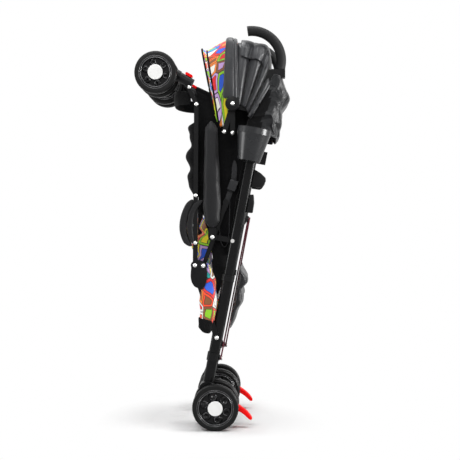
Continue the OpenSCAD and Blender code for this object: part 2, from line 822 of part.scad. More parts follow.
// Rear of the canopy and its hanging curtain, in gathered folds
module canopy_rear() {
    turn = function(u) rear_turn[0] + (rear_turn[1] - rear_turn[0]) * u;
    fold = function(u, v) fold_depth * sin(360 * rear_folds * u) * (0.4 + 0.6 * sin(180 * v));
    reach = function(u, v) lookup(turn(u), rear_reach) + fold(u, v);
    outer = function(u, v) hood(turn(u), v, reach(u, v), rear_half, rear_low);
    inner = function(u, v) hood(turn(u), v, reach(u, v) - cloth_t, rear_half - cloth_t, rear_low);
    color(grey_cloth) sheet(outer, inner, 36, 12);
}

// Soft slab in the side view: its middle line, half thickness and half width, with channels
module slab(line, thick, half, rows, cols, channels, depth) {
    point = function(u, v, side)
        let (s = line[0][0] + (line[len(line) - 1][0] - line[0][0]) * u)
        let (crown = pow(max(0, sin(180 * u) * sin(180 * v)), 0.35))
        let (sewn = 1 - depth * pow(abs(cos(180 * channels * u)), 6))
        let (w = world([lookup(s, line) + side * (1 + lookup(s, thick) * crown * sewn), s]))
        [w[0] - origin_x, (2 * v - 1) * half * (1 - 0.03 * sin(180 * u)) - origin_y, w[1]];
    outer = function(u, v) point(u, v, 1);
    inner = function(u, v) point(u, v, -1);
    sheet(outer, inner, rows, cols);
}

// Backrest between the main tubes
module backrest() {
    line = [[backrest_s[0], -12], [backrest_s[1], -13], [backrest_s[2], -22]];
    thick = [[backrest_s[0], 8], [backrest_s[2], 8]];
    color(black_cloth) slab(line, thick, backrest_half, 24, 10, 4, 0.5);
}

// Seat pad between the seat tubes, with its front flap hanging below the plates
module seat_pad() {
    front = seat_pivot_s - 150;
    fall = seat_pivot_s - 70;
    tail = -seat_end_ahead - 2;
    line = [[front, -36], [fall, -44], [seat_pivot_s, -seat_pivot_ahead], [seat_end_s, tail]];
    thick = [[front, 8], [fall, 15], [seat_pivot_s, 12], [seat_end_s, 9]];
    color("#d8492b") slab(line, thick, leg_gap / 2 - seat_lane[1] - gap, 24, 10, 5, 0.45);
}

// Basket behind the brace, folded flat
module basket() {
    back = brace_lane_b[1] + gap;
    line = [[basket_s[0], back + 2.9], [basket_s[1], back + 10.9], [basket_s[2], back + 2.9]];
    thick = [[basket_s[0], 2], [basket_s[1], 10], [basket_s[2], 2]];
    color(grey_cloth) slab(line, thick, leg_gap / 2 - 12, 18, 10, 3, 0.25);
}

// Calf rest between the front legs
module footrest() {
    low_s = leg_pivot_s + (leg_bend_s - leg_pivot_s) * 0.42;
    high_s = leg_pivot_s + (leg_bend_s - leg_pivot_s) * 0.86;
    slope = (leg_bend_ahead - leg_pivot_ahead) / (leg_bend_s - leg_pivot_s);
    line = [for (s = [low_s, high_s]) [s, -leg_pivot_ahead - slope * (s - leg_pivot_s)]];
    thick = [[low_s, 5], [(low_s + high_s) / 2, 9], [high_s, 5]];
    color(black_cloth) slab(line, thick, leg_gap / 2 - leg_t / 2 - gap, 14, 8, 3, 0.4);
}

// Cup holder beside the left tube
module cup_holder() {
    r_top = cup_d / 2;
    r_low = cup_floor_d / 2;
    shoulder = cup_h - cup_mouth_h;
    color("#3c3d40") on_side(false) leaned() translate([cup_x, cup_lane, cup_s]) rotate_extrude() {
        polygon([
            [0, 0], [r_low + cup_wall, 0], [cup_outer_r - 1, shoulder], [cup_outer_r, shoulder + 1],
            [cup_outer_r, cup_h], [r_top, cup_h], [r_top, shoulder], [r_low, cup_wall], [0, cup_wall]
        ]);
    }
}

// Clamp that holds the cup holder on the tube, with its screw block behind
module cup_clamp() {
    s = cup_s + clamp_h / 2;
    cup_r = cup_floor_d / 2 + cup_wall;
    block = [tube_w / 2 + 2, tube_w / 2 + 26];
    color(black_plastic) on_side(false) leaned() difference() {
        union() {
            collar(s, clamp_h, 8);
            translate([block[0], -6, cup_s]) cube([block[1] - block[0], 12, clamp_h]);
            translate([cup_x - 7, cup_lane + cup_r - 2, cup_s])
                cube([14, -flank - 3 - cup_lane - cup_r + 2, clamp_h]);
        }
        translate([0, 0, s - clamp_h]) linear_extrude(2 * clamp_h) stadium(tube_w + slip, tube_t + slip);
        translate([cup_x, cup_lane, cup_s - 1]) rotate_extrude() {
            shoulder = cup_h - cup_mouth_h;
            polygon([
                [0, 0], [cup_r + slip, 0], [cup_r + slip, 1],
                [cup_outer_r - 0.9, shoulder + 1], [cup_outer_r + slip, cup_h], [0, cup_h]
            ]);
        }
    }
}

main_tube(false);  // main_tube_left
main_tube(true);  // main_tube_right
handle_grip(false);  // handle_grip_left
handle_grip(true);  // handle_grip_right
handle_knuckle(false);  // handle_knuckle_left
handle_knuckle(true);  // handle_knuckle_right
rear_housing(false);  // rear_housing_left
rear_housing(true);  // rear_housing_right
rear_axle(false);  // rear_axle_left
rear_axle(true);  // rear_axle_right
side_brackets(false);  // side_brackets_left
side_brackets(true);  // side_brackets_right
frame_rivets(false);  // frame_rivets_left
frame_rivets(true);  // frame_rivets_right
cup_holder();
cup_clamp();
link_plates(false);  // link_plates_left
link_plates(true);  // link_plates_right
link_pins(false);  // link_pins_left
link_pins(true);  // link_pins_right
front_leg(false);  // front_leg_left
front_leg(true);  // front_leg_right
swivel_sleeve(false);  // swivel_sleeve_left
swivel_sleeve(true);  // swivel_sleeve_right
front_fork(false);  // front_fork_left
front_fork(true);  // front_fork_right
front_tyres(false);  // front_tyres_left
front_tyres(true);  // front_tyres_right
front_rims(false);  // front_rims_left
front_rims(true);  // front_rims_right
front_caps(false);  // front_caps_left
front_caps(true);  // front_caps_right
rear_tyres(false);  // rear_tyres_left
rear_tyres(true);  // rear_tyres_right
rear_rims(false);  // rear_rims_left
rear_rims(true);  // rear_rims_right
rear_caps(false);  // rear_caps_left
rear_caps(true);  // rear_caps_right
brake_lever(false);  // brake_lever_left
brake_lever(true);  // brake_lever_right
seat_tube(false);  // seat_tube_left
seat_tube(true);  // seat_tube_right
armrest_arm(false);  // armrest_arm_left
armrest_arm(true);  // armrest_arm_right
armrest_pad(false);  // armrest_pad_left
armrest_pad(true);  // armrest_pad_right
brace_bar(false);  // brace_bar_left
brace_bar(true);  // brace_bar_right
brace_slider(false);  // brace_slider_left
brace_slider(true);  // brace_slider_right
canopy_arm(false);  // canopy_arm_left
canopy_arm(true);  // canopy_arm_right
swivel_lock(false);  // swivel_lock_left
swivel_lock(true);  // swivel_lock_right
canopy_front();
canopy_rear();
backrest();
seat_pad();
basket();
footrest();
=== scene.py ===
"""Dresses the folded umbrella stroller: finishes, soft goods, fasteners, camera and light."""

import json
import logging
from collections.abc import Callable
from dataclasses import dataclass
from enum import Enum
from math import ceil, copysign, cos, exp, hypot, pi, radians, sin, sqrt, tau

import bmesh
import bpy
from mathutils import Matrix, Vector

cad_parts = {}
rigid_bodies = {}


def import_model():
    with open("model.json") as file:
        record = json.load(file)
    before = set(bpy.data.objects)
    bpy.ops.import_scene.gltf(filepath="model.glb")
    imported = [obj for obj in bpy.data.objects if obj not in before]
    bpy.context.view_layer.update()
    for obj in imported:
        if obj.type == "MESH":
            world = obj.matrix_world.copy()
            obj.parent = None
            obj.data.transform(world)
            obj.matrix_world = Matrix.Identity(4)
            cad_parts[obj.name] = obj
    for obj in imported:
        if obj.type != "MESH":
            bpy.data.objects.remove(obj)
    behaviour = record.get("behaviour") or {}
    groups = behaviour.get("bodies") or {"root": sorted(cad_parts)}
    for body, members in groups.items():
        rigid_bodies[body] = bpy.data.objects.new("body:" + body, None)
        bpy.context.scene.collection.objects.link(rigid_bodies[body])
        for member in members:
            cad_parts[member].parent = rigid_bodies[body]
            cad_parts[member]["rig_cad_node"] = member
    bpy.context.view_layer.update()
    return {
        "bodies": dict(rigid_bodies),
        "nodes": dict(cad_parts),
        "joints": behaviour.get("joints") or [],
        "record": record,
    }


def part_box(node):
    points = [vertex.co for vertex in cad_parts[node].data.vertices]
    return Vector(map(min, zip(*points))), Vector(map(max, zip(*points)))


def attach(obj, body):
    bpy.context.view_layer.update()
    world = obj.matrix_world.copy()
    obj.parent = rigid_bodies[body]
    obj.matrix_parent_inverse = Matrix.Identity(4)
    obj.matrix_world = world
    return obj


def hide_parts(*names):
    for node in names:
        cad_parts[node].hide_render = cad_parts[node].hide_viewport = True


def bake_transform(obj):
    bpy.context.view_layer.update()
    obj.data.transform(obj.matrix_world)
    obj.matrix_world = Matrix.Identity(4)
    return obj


LOG = logging.getLogger("stroller")
MM = 0.001
# Colour and shine drift over about 45 mm, cloth rucks over about 38 mm, and printed thread lies about 1.1 mm apart.
DRIFT_PER_M = 22.0
RUCK_PER_M = 26.0
RUCK_MM = 6.0
THREAD_PER_M = 900.0
# Step along a line, as a share, from which its heading is read.
HEADING_STEP = 0.01
Obj, Material = bpy.types.Object, bpy.types.Material
Tree, Socket, Mesh = bpy.types.NodeTree, bpy.types.NodeSocket, bmesh.types.BMesh
Place = Callable[[float, float], Vector]
Table = tuple[tuple[float, float], ...]


def linear(code: str) -> tuple[float, float, float, float]:
    """Turns an sRGB hex colour into a linear one.

    Args:
        code: The colour as "#rrggbb".

    Returns:
        Red, green, blue and an alpha of 1.
    """
    parts = [int(code[i:i + 2], 16) / 255 for i in (1, 3, 5)]
    red, green, blue = (c / 12.92 if c <= 0.04045 else ((c + 0.055) / 1.055) ** 2.4 for c in parts)
    return red, green, blue, 1.0


def add_node(tree: Tree, kind: str, inputs: dict | None = None, **settings: object) -> bpy.types.Node:
    """Adds one node with its settings and inputs.

    Args:
        tree: The node tree that gets the node.
        kind: Blender's name of the node type.
        inputs: Input socket to a constant, or to the output socket or node that feeds it.
        **settings: Properties of the node itself.

    Returns:
        The new node.
    """
    node = tree.nodes.new(kind)
    for name, value in settings.items():
        setattr(node, name, value)
    for socket, value in (inputs or {}).items():
        source = value.outputs[0] if isinstance(value, bpy.types.Node) else value
        if isinstance(source, Socket):
            tree.links.new(source, node.inputs[socket])
        else:
            node.inputs[socket].default_value = source
    return node


def blank_tree(owner: Material | bpy.types.World) -> Tree:
    """Turns on the nodes of a material or a world.

    Args:
        owner: The material or world.

    Returns:
        Its node tree, emptied.
    """
    owner.use_nodes = True
    owner.node_tree.nodes.clear()
    return owner.node_tree


def seen_rays(tree: Tree) -> bpy.types.Node:
    """Tells rays that show a thing, straight, mirrored or through glass, from rays that only light it.

    Args:
        tree: The node tree that gets the test.

    Returns:
        The node that gives 1 on rays that show it.
    """
    path = add_node(tree, "ShaderNodeLightPath").outputs
    clear = add_node(tree, "ShaderNodeMath", {0: path["Is Camera Ray"], 1: path["Is Transmission Ray"]},
                     operation="MAXIMUM")
    return add_node(tree, "ShaderNodeMath", {0: clear, 1: path["Is Glossy Ray"]}, operation="MAXIMUM")


def blend_table(table: Table, t: float) -> float:
    """Reads a table of (place, value) pairs with smooth steps between them.

    Args:
        table: The pairs, in rising order of place.
        t: The place to read.

    Returns:
        The value there.
    """
    if t <= table[0][0]:
        return table[0][1]
    for (a, low), (b, high) in zip(table, table[1:]):
        if t <= b:
            share = (t - a) / (b - a)
            return low + (high - low) * share * share * (3 - 2 * share)
    return table[-1][1]


def turns(count: int) -> list[float]:
    """Gives the angles of so many corners round a circle."""
    return [tau * k / count for k in range(count)]


def power(value: float, exponent: float) -> float:
    """Gives a power that keeps the sign."""
    return copysign(abs(value) ** exponent, value)


@dataclass(frozen=True)
class Layout:
    """Where the frame stands, in millimetres, so that soft goods meet the solids."""

    lean: float = radians(10.8)
    foot_x: float = -32.0
    axle_h: float = 61.0
    half_gap: float = 106.5
    half_cloth: float = 98.0
    origin_x: float = -12.706
    origin_y: float = -25.2

    def row(self, x: float, y: float, z: float) -> Vector:
        """Places a stroller point: behind the axle, across and up."""
        return Vector((x - self.origin_x, y - self.origin_y, z)) * MM

    def tube(self, x: float, s: float, y: float) -> Vector:
        """Places a point behind the main tube, along it and across."""
        level, slope = cos(self.lean), sin(self.lean)
        return self.row(self.foot_x + x * level + s * slope, y, self.axle_h - x * slope + s * level)


LAYOUT = Layout()


class Surface(Enum):
    """How a surface was made, which sets its fine relief."""

    MOULDED = "moulded"
    WOVEN = "woven"
    PAINTED = "painted"
    FOAM = "foam"
    TREAD = "tread"
    METAL = "metal"


@dataclass(frozen=True)
class Finish:
    """One material of the stroller."""

    name: str
    slot: str
    surface: Surface
    colour: str
    worn: str
    roughness: float
    relief: float = 0.2
    grain_mm: float = 1.0
    metallic: float = 0.0
    sheen: float = 0.0
    specular: float = 0.4
    crease: float = 0.0

    def build(self) -> Material:
        """Makes the node material.

        Returns:
            The material, with colour drift, roughness drift and fine relief.
        """
        material = bpy.data.materials.new(self.name)
        tree = blank_tree(material)
        spot = add_node(tree, "ShaderNodeTexCoord").outputs["Object"]
        drift = add_node(tree, "ShaderNodeTexNoise",
                         {"Scale": DRIFT_PER_M, "Detail": 5.0, "Roughness": 0.6, "Vector": spot})
        tone = add_node(tree, "ShaderNodeMixRGB",
                        {"Fac": drift, "Color1": linear(self.colour), "Color2": linear(self.worn)})
        rough = add_node(tree, "ShaderNodeMapRange",
                         {"Value": drift, "To Min": self.roughness - 0.06, "To Max": self.roughness + 0.08})
        bump = add_node(tree, "ShaderNodeBump", {"Strength": self.relief, "Distance": self.grain_mm * MM * 0.5,
                                                 "Height": self.height(tree, spot)})
        if self.crease:
            ruck = add_node(tree, "ShaderNodeTexNoise",
                            {"Scale": RUCK_PER_M, "Detail": 3.0, "Distortion": 1.2, "Vector": spot})
            bump = add_node(tree, "ShaderNodeBump",
                            {"Strength": self.crease, "Distance": RUCK_MM * MM, "Height": ruck, "Normal": bump})
        shader = add_node(tree, "ShaderNodeBsdfPrincipled",
                          {"Metallic": self.metallic, "Sheen Weight": self.sheen, "Sheen Roughness": 0.5,
                           "Specular IOR Level": self.specular, "Base Color": tone, "Roughness": rough, "Normal": bump})
        add_node(tree, "ShaderNodeOutputMaterial", {"Surface": shader})
        return material

    def height(self, tree: Tree, spot: Socket) -> Socket:
        """Makes the relief pattern of this kind of surface.

        Args:
            tree: The material's nodes.
            spot: Its texture coordinates.

        Returns:
            The socket that holds the height.
        """
        scale = 1.0 / (self.grain_mm * MM)
        # A wave texture repeats every 2 pi / 20 of its scale, so these bands lie about two grains apart.
        waves = scale / 6.28
        if self.surface is Surface.WOVEN:
            warp, weft = (add_node(tree, "ShaderNodeTexWave", {"Scale": waves, "Distortion": 0.6, "Vector": spot},
                                   bands_direction=way).outputs["Fac"] for way in ("Z", "DIAGONAL"))
            return add_node(tree, "ShaderNodeMath", {0: warp, 1: weft}, operation="ADD").outputs[0]
        if self.surface is Surface.TREAD:
            return add_node(tree, "ShaderNodeTexWave", {"Scale": waves, "Vector": spot},
                            bands_direction="Y").outputs["Fac"]
        if self.surface is Surface.FOAM:
            return add_node(tree, "ShaderNodeTexVoronoi", {"Scale": scale, "Vector": spot}).outputs["Distance"]
        detail = 2.0 if self.surface is Surface.PAINTED else 6.0
        return add_node(tree, "ShaderNodeTexNoise", {"Scale": scale, "Detail": detail, "Vector": spot}).outputs["Fac"]


@dataclass(frozen=True)
class PrintFinish:
    """Printed polyester: bright patches with black outlines, on the cloth's own map in metres."""

    name: str = "printed_polyester"
    slot: str = "print_cloth"
    patch_mm: float = 34.0
    line_mm: float = 2.2
    border: float = 0.2
    wobble: float = 0.012
    ink: str = "#141216"
    colours: tuple[str, ...] = ("#0aa7a4", "#f7861c", "#f6e30a", "#1556d8", "#fb4a12", "#8fd00c", "#c9a2dc",
                                "#f4f1ea", "#8a4f22", "#e3131f")

    def build(self) -> Material:
        """Makes the printed cloth.

        Returns:
            The material.
        """
        material = bpy.data.materials.new(self.name)
        tree = blank_tree(material)
        spot = add_node(tree, "ShaderNodeTexCoord").outputs["UV"]
        noise = add_node(tree, "ShaderNodeTexNoise", {"Scale": 30.0, "Detail": 1.0, "Vector": spot})
        bent = add_node(tree, "ShaderNodeMixRGB",
                        {"Fac": self.wobble, "Color1": spot, "Color2": noise.outputs["Color"]}, blend_type="ADD")
        grid = {"Scale": 1.0 / (self.patch_mm * MM), "Vector": bent}
        cells = add_node(tree, "ShaderNodeTexVoronoi", grid, voronoi_dimensions="2D")
        edges = add_node(tree, "ShaderNodeTexVoronoi", grid, voronoi_dimensions="2D", feature="DISTANCE_TO_EDGE")
        pick = add_node(tree, "ShaderNodeSeparateColor", {"Color": cells.outputs["Color"]}).outputs
        patch = self.ramp(tree, pick["Red"], self.colours)
        inner = self.ramp(tree, pick["Green"], self.colours[3:] + self.colours[:3])
        ring = add_node(tree, "ShaderNodeMath", {0: edges, 1: self.border}, operation="GREATER_THAN")
        motif = add_node(tree, "ShaderNodeMixRGB", {"Fac": ring, "Color1": patch, "Color2": inner})
        width = self.line_mm / self.patch_mm / 2
        rim = add_node(tree, "ShaderNodeMath", {0: edges, 1: width}, operation="LESS_THAN")
        second = add_node(tree, "ShaderNodeMath", {0: edges, 1: self.border, 2: width * 0.6}, operation="COMPARE")
        lines = add_node(tree, "ShaderNodeMath", {0: rim, 1: second}, operation="MAXIMUM")
        inked = add_node(tree, "ShaderNodeMixRGB", {"Fac": lines, "Color1": motif, "Color2": linear(self.ink)})
        weave = add_node(tree, "ShaderNodeTexNoise", {"Scale": THREAD_PER_M, "Vector": spot})
        bump = add_node(tree, "ShaderNodeBump", {"Strength": 0.15, "Distance": 0.5 * MM, "Height": weave})
        shader = add_node(tree, "ShaderNodeBsdfPrincipled",
                          {"Roughness": 0.62, "Sheen Weight": 0.15, "Base Color": inked, "Normal": bump})
        add_node(tree, "ShaderNodeOutputMaterial", {"Surface": shader})
        return material

    @staticmethod
    def ramp(tree: Tree, source: Socket, colours: tuple[str, ...]) -> Socket:
        """Picks one colour of several by a patch's own number.

        Args:
            tree: The material's nodes.
            source: The socket with the number.
            colours: The colours to pick from.

        Returns:
            The colour socket.
        """
        node = add_node(tree, "ShaderNodeValToRGB", {"Fac": source})
        node.color_ramp.interpolation = "CONSTANT"
        stops = node.color_ramp.elements
        for k, code in enumerate(colours):
            element = stops[k] if k < 2 else stops.new(0.5)
            element.color = linear(code)
        for k, element in enumerate(stops):
            element.position = k / len(colours)
        return node.outputs["Color"]


AnyFinish = Finish | PrintFinish

# Powder coat on steel: near black, with one clean highlight along each rounded edge.
BLACK_PAINT = Finish("powder_coated_steel", "black_paint", Surface.PAINTED, "#0b0b0c", "#111112", 0.22, 0.05, 0.9,
                     specular=0.13)
# The same coat on the thinner leg and seat tubes, painted a shade paler and given a slightly brighter highlight as
# painted light, since they face the light.
TUBE_PAINTED_PALER = Finish("coated_light_tube", "light_tube", Surface.PAINTED, "#0d0d0e", "#131314", 0.22, 0.05, 0.9,
                    specular=0.15)
# Glass-filled nylon: a fine spark-eroded grain that spreads the highlight.
BLACK_PLASTIC = Finish("moulded_nylon", "black_plastic", Surface.MOULDED, "#0d0d0e", "#131314", 0.34, 0.12, 1.2,
                       specular=0.13)
# Polypropylene of the cup holder: greyer and a little waxy.
GREY_PLASTIC = Finish("moulded_grey_polypropylene", "grey_plastic", Surface.MOULDED, "#1e1f21", "#27282a", 0.26, 0.1,
                      1.2, specular=0.26)
# Polypropylene wheel: polished mould, so its ribs catch sharp glints.
WHEEL_PLASTIC = Finish("moulded_wheel_polypropylene", "wheel_plastic", Surface.MOULDED, "#070708", "#0c0c0d", 0.18,
                       0.06, 1.2, specular=0.16)
# The same wheel's turned lips: polished by the mould, and painted paler than the wheel as painted highlight, so they
# draw thin bright lines.
WHEEL_LIP_PAINTED_HIGHLIGHT = Finish("polished_wheel_lip", "wheel_plastic", Surface.MOULDED, "#2a2a2c", "#323234", 0.12, 0.03, 1.2,
                   specular=0.7)
# The dish floor between the wheel's petals: painted near black without shine, as painted shade for deep, unlit
# openings.
WHEEL_GAP_PAINTED_SHADE = Finish("dark_wheel_opening", "wheel_plastic", Surface.MOULDED, "#020202", "#040404", 0.8, 0.05, 1.2,
                   specular=0.03)
# White ABS cap: smooth and even.
CAP_PLASTIC = Finish("pale_abs_cap", "cap_plastic", Surface.MOULDED, "#f4f4f2", "#ececea", 0.34, 0.04, 1.5)
# Red ABS of the brake levers and swivel locks: saturated and glossy.
RED_PLASTIC = Finish("red_abs", "red_plastic", Surface.MOULDED, "#ff0505", "#f40404", 0.36, 0.04, 1.5, specular=0.12)
# Foamed EVA tyre: dull, with fine rings moulded round the tread.
TYRE = Finish("foam_rubber_tyre", "tyre", Surface.TREAD, "#0d0d0d", "#151515", 0.32, 1.0, 2.6, specular=0.15)
# Closed-cell foam of the grip: soft, with tiny pores.
FOAM = Finish("foam_grip", "foam_grip", Surface.FOAM, "#0d0d0e", "#131314", 0.62, 0.5, 1.4, specular=0.16)
# Zinc-plated steel of rivets and axles: bright and slightly brushed.
STEEL = Finish("plated_steel", "steel", Surface.METAL, "#dcdcda", "#c4c4c2", 0.26, 0.05, 0.8, metallic=1.0)
# Painted steel of the cross brace, which shows dark red where light grazes it.
MAROON = Finish("maroon_coated_brace", "light_tube", Surface.PAINTED, "#5c1226", "#43101c", 0.4, 0.05, 0.9,
                specular=0.2)
# Black woven polyester of panels that lie in shade: almost no shine.
BLACK_CLOTH = Finish("black_polyester", "black_cloth", Surface.WOVEN, "#080809", "#0d0d0e", 0.75, 0.2, 1.2,
                     sheen=0.02, specular=0.08, crease=0.7)
# Knitted cover over soft foam: a broad dull highlight on the round of the pad.
PAD_CLOTH = Finish("padded_black_polyester", "pad_cloth", Surface.WOVEN, "#171718", "#1e1e20", 0.5, 0.2, 1.2,
                   sheen=0.06, specular=0.14, crease=0.2)
# Coated grey-black polyester of the hood: dark in its folds, with shiny creases.
GREY_CLOTH = Finish("grey_polyester", "grey_cloth", Surface.WOVEN, "#131416", "#1f2022", 0.36, 0.2, 1.2,
                    sheen=0.14, specular=0.16, crease=0.9)
# The same coated cloth drawn taut over the bow and in the wide folds: smoother and evenly shiny, and painted paler as
# painted light, for the light that these taut faces catch.
BOW_CLOTH_PAINTED_PALER = Finish("taut_grey_polyester", "grey_cloth", Surface.WOVEN, "#232427", "#2e2f32", 0.36, 0.2, 1.2,
                   sheen=0.16, specular=0.24, crease=0.35)
# Woven nylon webbing: ribbed and flat.
WEBBING = Finish("black_webbing", "black_cloth", Surface.WOVEN, "#232325", "#2c2c2e", 0.55, 0.4, 1.8, sheen=0.1,
                 specular=0.2)
# Printed polyester: flat, bright and even, with thin dark outlines and only a faint weave.
PRINT = PrintFinish()


class Finishes:
    """Builds each finish once and hands it out."""

    def __init__(self) -> None:
        """Starts with no material made."""
        self.made: dict[str, Material] = {}

    def material(self, finish: AnyFinish) -> Material:
        """Gives the material of a finish, made on its first use."""
        if finish.name not in self.made:
            self.made[finish.name] = finish.build()
        return self.made[finish.name]

    def coat(self, obj: Obj, finish: AnyFinish) -> None:
        """Gives an object a finish.

        Args:
            obj: The object to coat.
            finish: What it is made of.
        """
        obj.data.materials.clear()
        obj.data.materials.append(self.material(finish))


FINISHES = Finishes()


def put(name: str, data: bpy.types.ID) -> Obj:
    """Puts a mesh, lamp or camera into the scene."""
    obj = bpy.data.objects.new(name, data)
    bpy.context.scene.collection.objects.link(obj)
    return obj


def make_object(bm: Mesh, name: str, finish: AnyFinish) -> Obj:
    """Turns a bmesh into a smooth-shaded object with its finish.

    Args:
        bm: The mesh, which is freed.
        name: The piece's name.
        finish: Its finish.

    Returns:
        The object, at the origin.
    """
    mesh = bpy.data.meshes.new(name)
    for face in bm.faces:
        face.smooth = True
    bm.to_mesh(mesh)
    bm.free()
    obj = put(name, mesh)
    FINISHES.coat(obj, finish)
    return obj


def surface(bm: Mesh, rows: int, cols: int, place: Place, size: tuple[float, float], closed: bool = False) -> None:
    """Adds a grid laid out by a function of two shares, with a map in metres.

    Args:
        bm: The mesh that gets it.
        rows: Cells along the first share.
        cols: Cells along the second share.
        place: Gives the place of each pair of shares.
        size: Real size along the two shares, in metres, for the map.
        closed: Whether the sides meet, so that seams and poles are merged.
    """
    layer = bm.loops.layers.uv.verify()
    grid = bmesh.ops.create_grid(bm, x_segments=cols, y_segments=rows, size=0.5)["verts"]
    for face in {f for v in grid for f in v.link_faces}:
        for loop in face.loops:
            loop[layer].uv = ((loop.vert.co.x + 0.5) * size[1], (loop.vert.co.y + 0.5) * size[0])
    for vert in grid:
        vert.co = place(vert.co.y + 0.5, vert.co.x + 0.5)
    if closed:
        bmesh.ops.remove_doubles(bm, verts=grid, dist=1e-5)
    bmesh.ops.recalc_face_normals(bm, faces=bm.faces)


def cap_ends(bm: Mesh) -> None:
    """Closes the open ends of a mesh and turns its faces outwards."""
    bmesh.ops.holes_fill(bm, edges=[e for e in bm.edges if e.is_boundary], sides=0)
    bmesh.ops.recalc_face_normals(bm, faces=bm.faces)


def skin(name: str, finish: AnyFinish, cells: tuple[int, int], place: Place, size: tuple[float, float],
         closed: bool = False, capped: bool = False) -> Obj:
    """Makes a piece of one grid that a function lays out.

    Args:
        name: The piece's name.
        finish: Its finish.
        cells: Cells along the two shares.
        place: Gives the place of each pair of shares.
        size: Real size along the two shares, in metres.
        closed: Whether the sides meet.
        capped: Whether open ends are closed.

    Returns:
        The piece.
    """
    bm = bmesh.new()
    surface(bm, *cells, place, size, closed)
    if capped:
        cap_ends(bm)
    return make_object(bm, name, finish)


def thicken(obj: Obj, thick_mm: float) -> None:
    """Gives a cloth its thickness and smooths it.

    Args:
        obj: The cloth.
        thick_mm: Its thickness.
    """
    solid = obj.modifiers.new("thickness", "SOLIDIFY")
    solid.thickness = thick_mm * MM
    solid.offset = 0.0
    smooth(obj)


def smooth(obj: Obj) -> None:
    """Adds one level of subdivision, in view and render alike."""
    sub = obj.modifiers.new("smooth", "SUBSURF")
    sub.levels = sub.render_levels = 1


def settle(obj: Obj) -> None:
    """Lets a sewn cover swell by cloth simulation, and keeps the result in its mesh.

    Args:
        obj: The cover, without other modifiers.
    """
    frames, furthest_mm = 20, 3.0
    scene = bpy.context.scene
    start = [v.co.copy() for v in obj.data.vertices]
    cloth = obj.modifiers.new("cloth", "CLOTH")
    cloth.settings.quality = 6
    cloth.settings.mass = 0.15
    cloth.settings.tension_stiffness = 18.0
    cloth.settings.bending_stiffness = 0.35
    cloth.settings.use_pressure = True
    cloth.settings.uniform_pressure_force = 4.0
    cloth.settings.shrink_min = -0.03
    cloth.settings.effector_weights.gravity = 0.0
    cloth.point_cache.frame_end = frames
    for frame in range(1, frames + 1):
        scene.frame_set(frame)
    shaped = obj.evaluated_get(bpy.context.evaluated_depsgraph_get())
    moved = [v.co.copy() for v in shaped.data.vertices]
    obj.modifiers.remove(cloth)
    scene.frame_set(1)
    furthest = 0.0
    for vert, old, new in zip(obj.data.vertices, start, moved):
        step = new - old
        reach = min(step.length, furthest_mm * MM)
        furthest = max(furthest, reach)
        vert.co = old + step.normalized() * reach
    LOG.info("%s settled, %.1f mm at most", obj.name, furthest / MM)


def run_of(points: list[Vector], t: float) -> Vector:
    """Reads a smooth line through points.

    Args:
        points: The points it goes through.
        t: Share of the way, 0 to 1.

    Returns:
        The place there.
    """
    span = t * (len(points) - 1)
    i = min(int(span), len(points) - 2)
    f = span - i
    a, b, c, d = points[max(i - 1, 0)], points[i], points[i + 1], points[min(i + 2, len(points) - 1)]
    return 0.5 * (2 * b + (c - a) * f + (2 * a - 5 * b + 4 * c - d) * f * f + (3 * b - a - 3 * c + d) * f ** 3)


def heading(points: list[Vector], t: float) -> Vector:
    """Gives the direction of a smooth line at a share of its way."""
    return (run_of(points, min(t + HEADING_STEP, 1)) - run_of(points, max(t - HEADING_STEP, 0))).normalized()


def band(name: str, finish: Finish, points: list[Vector], width_mm: float, thick_mm: float, rows: int = 40,
         swell: float = 0.0) -> Obj:
    """Makes a band along a line in the side view, its width across the stroller.

    Args:
        name: The piece's name.
        finish: What it is made of.
        points: Its middle line.
        width_mm: Its width across.
        thick_mm: Its thickness.
        rows: Cells along it.
        swell: How much thicker the middle of the run is, as a share.

    Returns:
        The band.
    """
    across = Vector((0, 1, 0))

    def place(u: float, w: float) -> Vector:
        """Places one point of the band's skin."""
        here = run_of(points, u)
        normal = heading(points, u).cross(across)
        a = tau * w
        cap = min(1.0, 6 * min(u, 1 - u) + 0.02) ** 0.5
        thick = thick_mm * (1 + swell * sin(pi * u)) * cap
        return (here + across * power(cos(a), 0.35) * width_mm * MM / 2
                + normal * power(sin(a), 0.6) * thick * MM / 2)

    return skin(name, finish, (rows, 16), place, (0.3, 0.06), closed=True, capped=True)


def pipe(bm: Mesh, points: list[Vector], radius_mm: float, rows: int = 80) -> None:
    """Adds a round cord or lip along points, closed at its ends.

    Args:
        bm: The mesh that gets it.
        points: Its middle line.
        radius_mm: Its radius.
        rows: Cells along it.
    """
    def place(u: float, w: float) -> Vector:
        """Places one point of the cord's skin."""
        along = heading(points, u)
        one = along.cross(Vector((1, 0, 0)) if abs(along.x) < 0.9 and abs(along.y) > 0.05 else Vector((0, 1, 0)))
        one.normalize()
        a = tau * w
        return run_of(points, u) + (one * cos(a) + along.cross(one) * sin(a)) * radius_mm * MM

    surface(bm, rows, 10, place, (0.6, 0.02), closed=True)
    cap_ends(bm)


def piping(name: str, finish: Finish, points: list[Vector], radius_mm: float) -> Obj:
    """Makes a sewn-in round edge along points.

    Args:
        name: The piece's name.
        finish: What it is made of.
        points: Its middle line.
        radius_mm: Its radius.

    Returns:
        The edge.
    """
    bm = bmesh.new()
    pipe(bm, points, radius_mm)
    return make_object(bm, name, finish)


def spread(obj: Obj, left: str, right: str) -> None:
    """Bakes a piece's placement into its mesh; it does not widen with the frame.

    Args:
        obj: The piece.
        left: The body of its left edge.
        right: The body of its right edge.
    """
    tuple(LAYOUT.row(0, LAYOUT.half_cloth, 0))
    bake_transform(obj)
    LOG.info("%s spreads from %s to %s", obj.name, left, right)


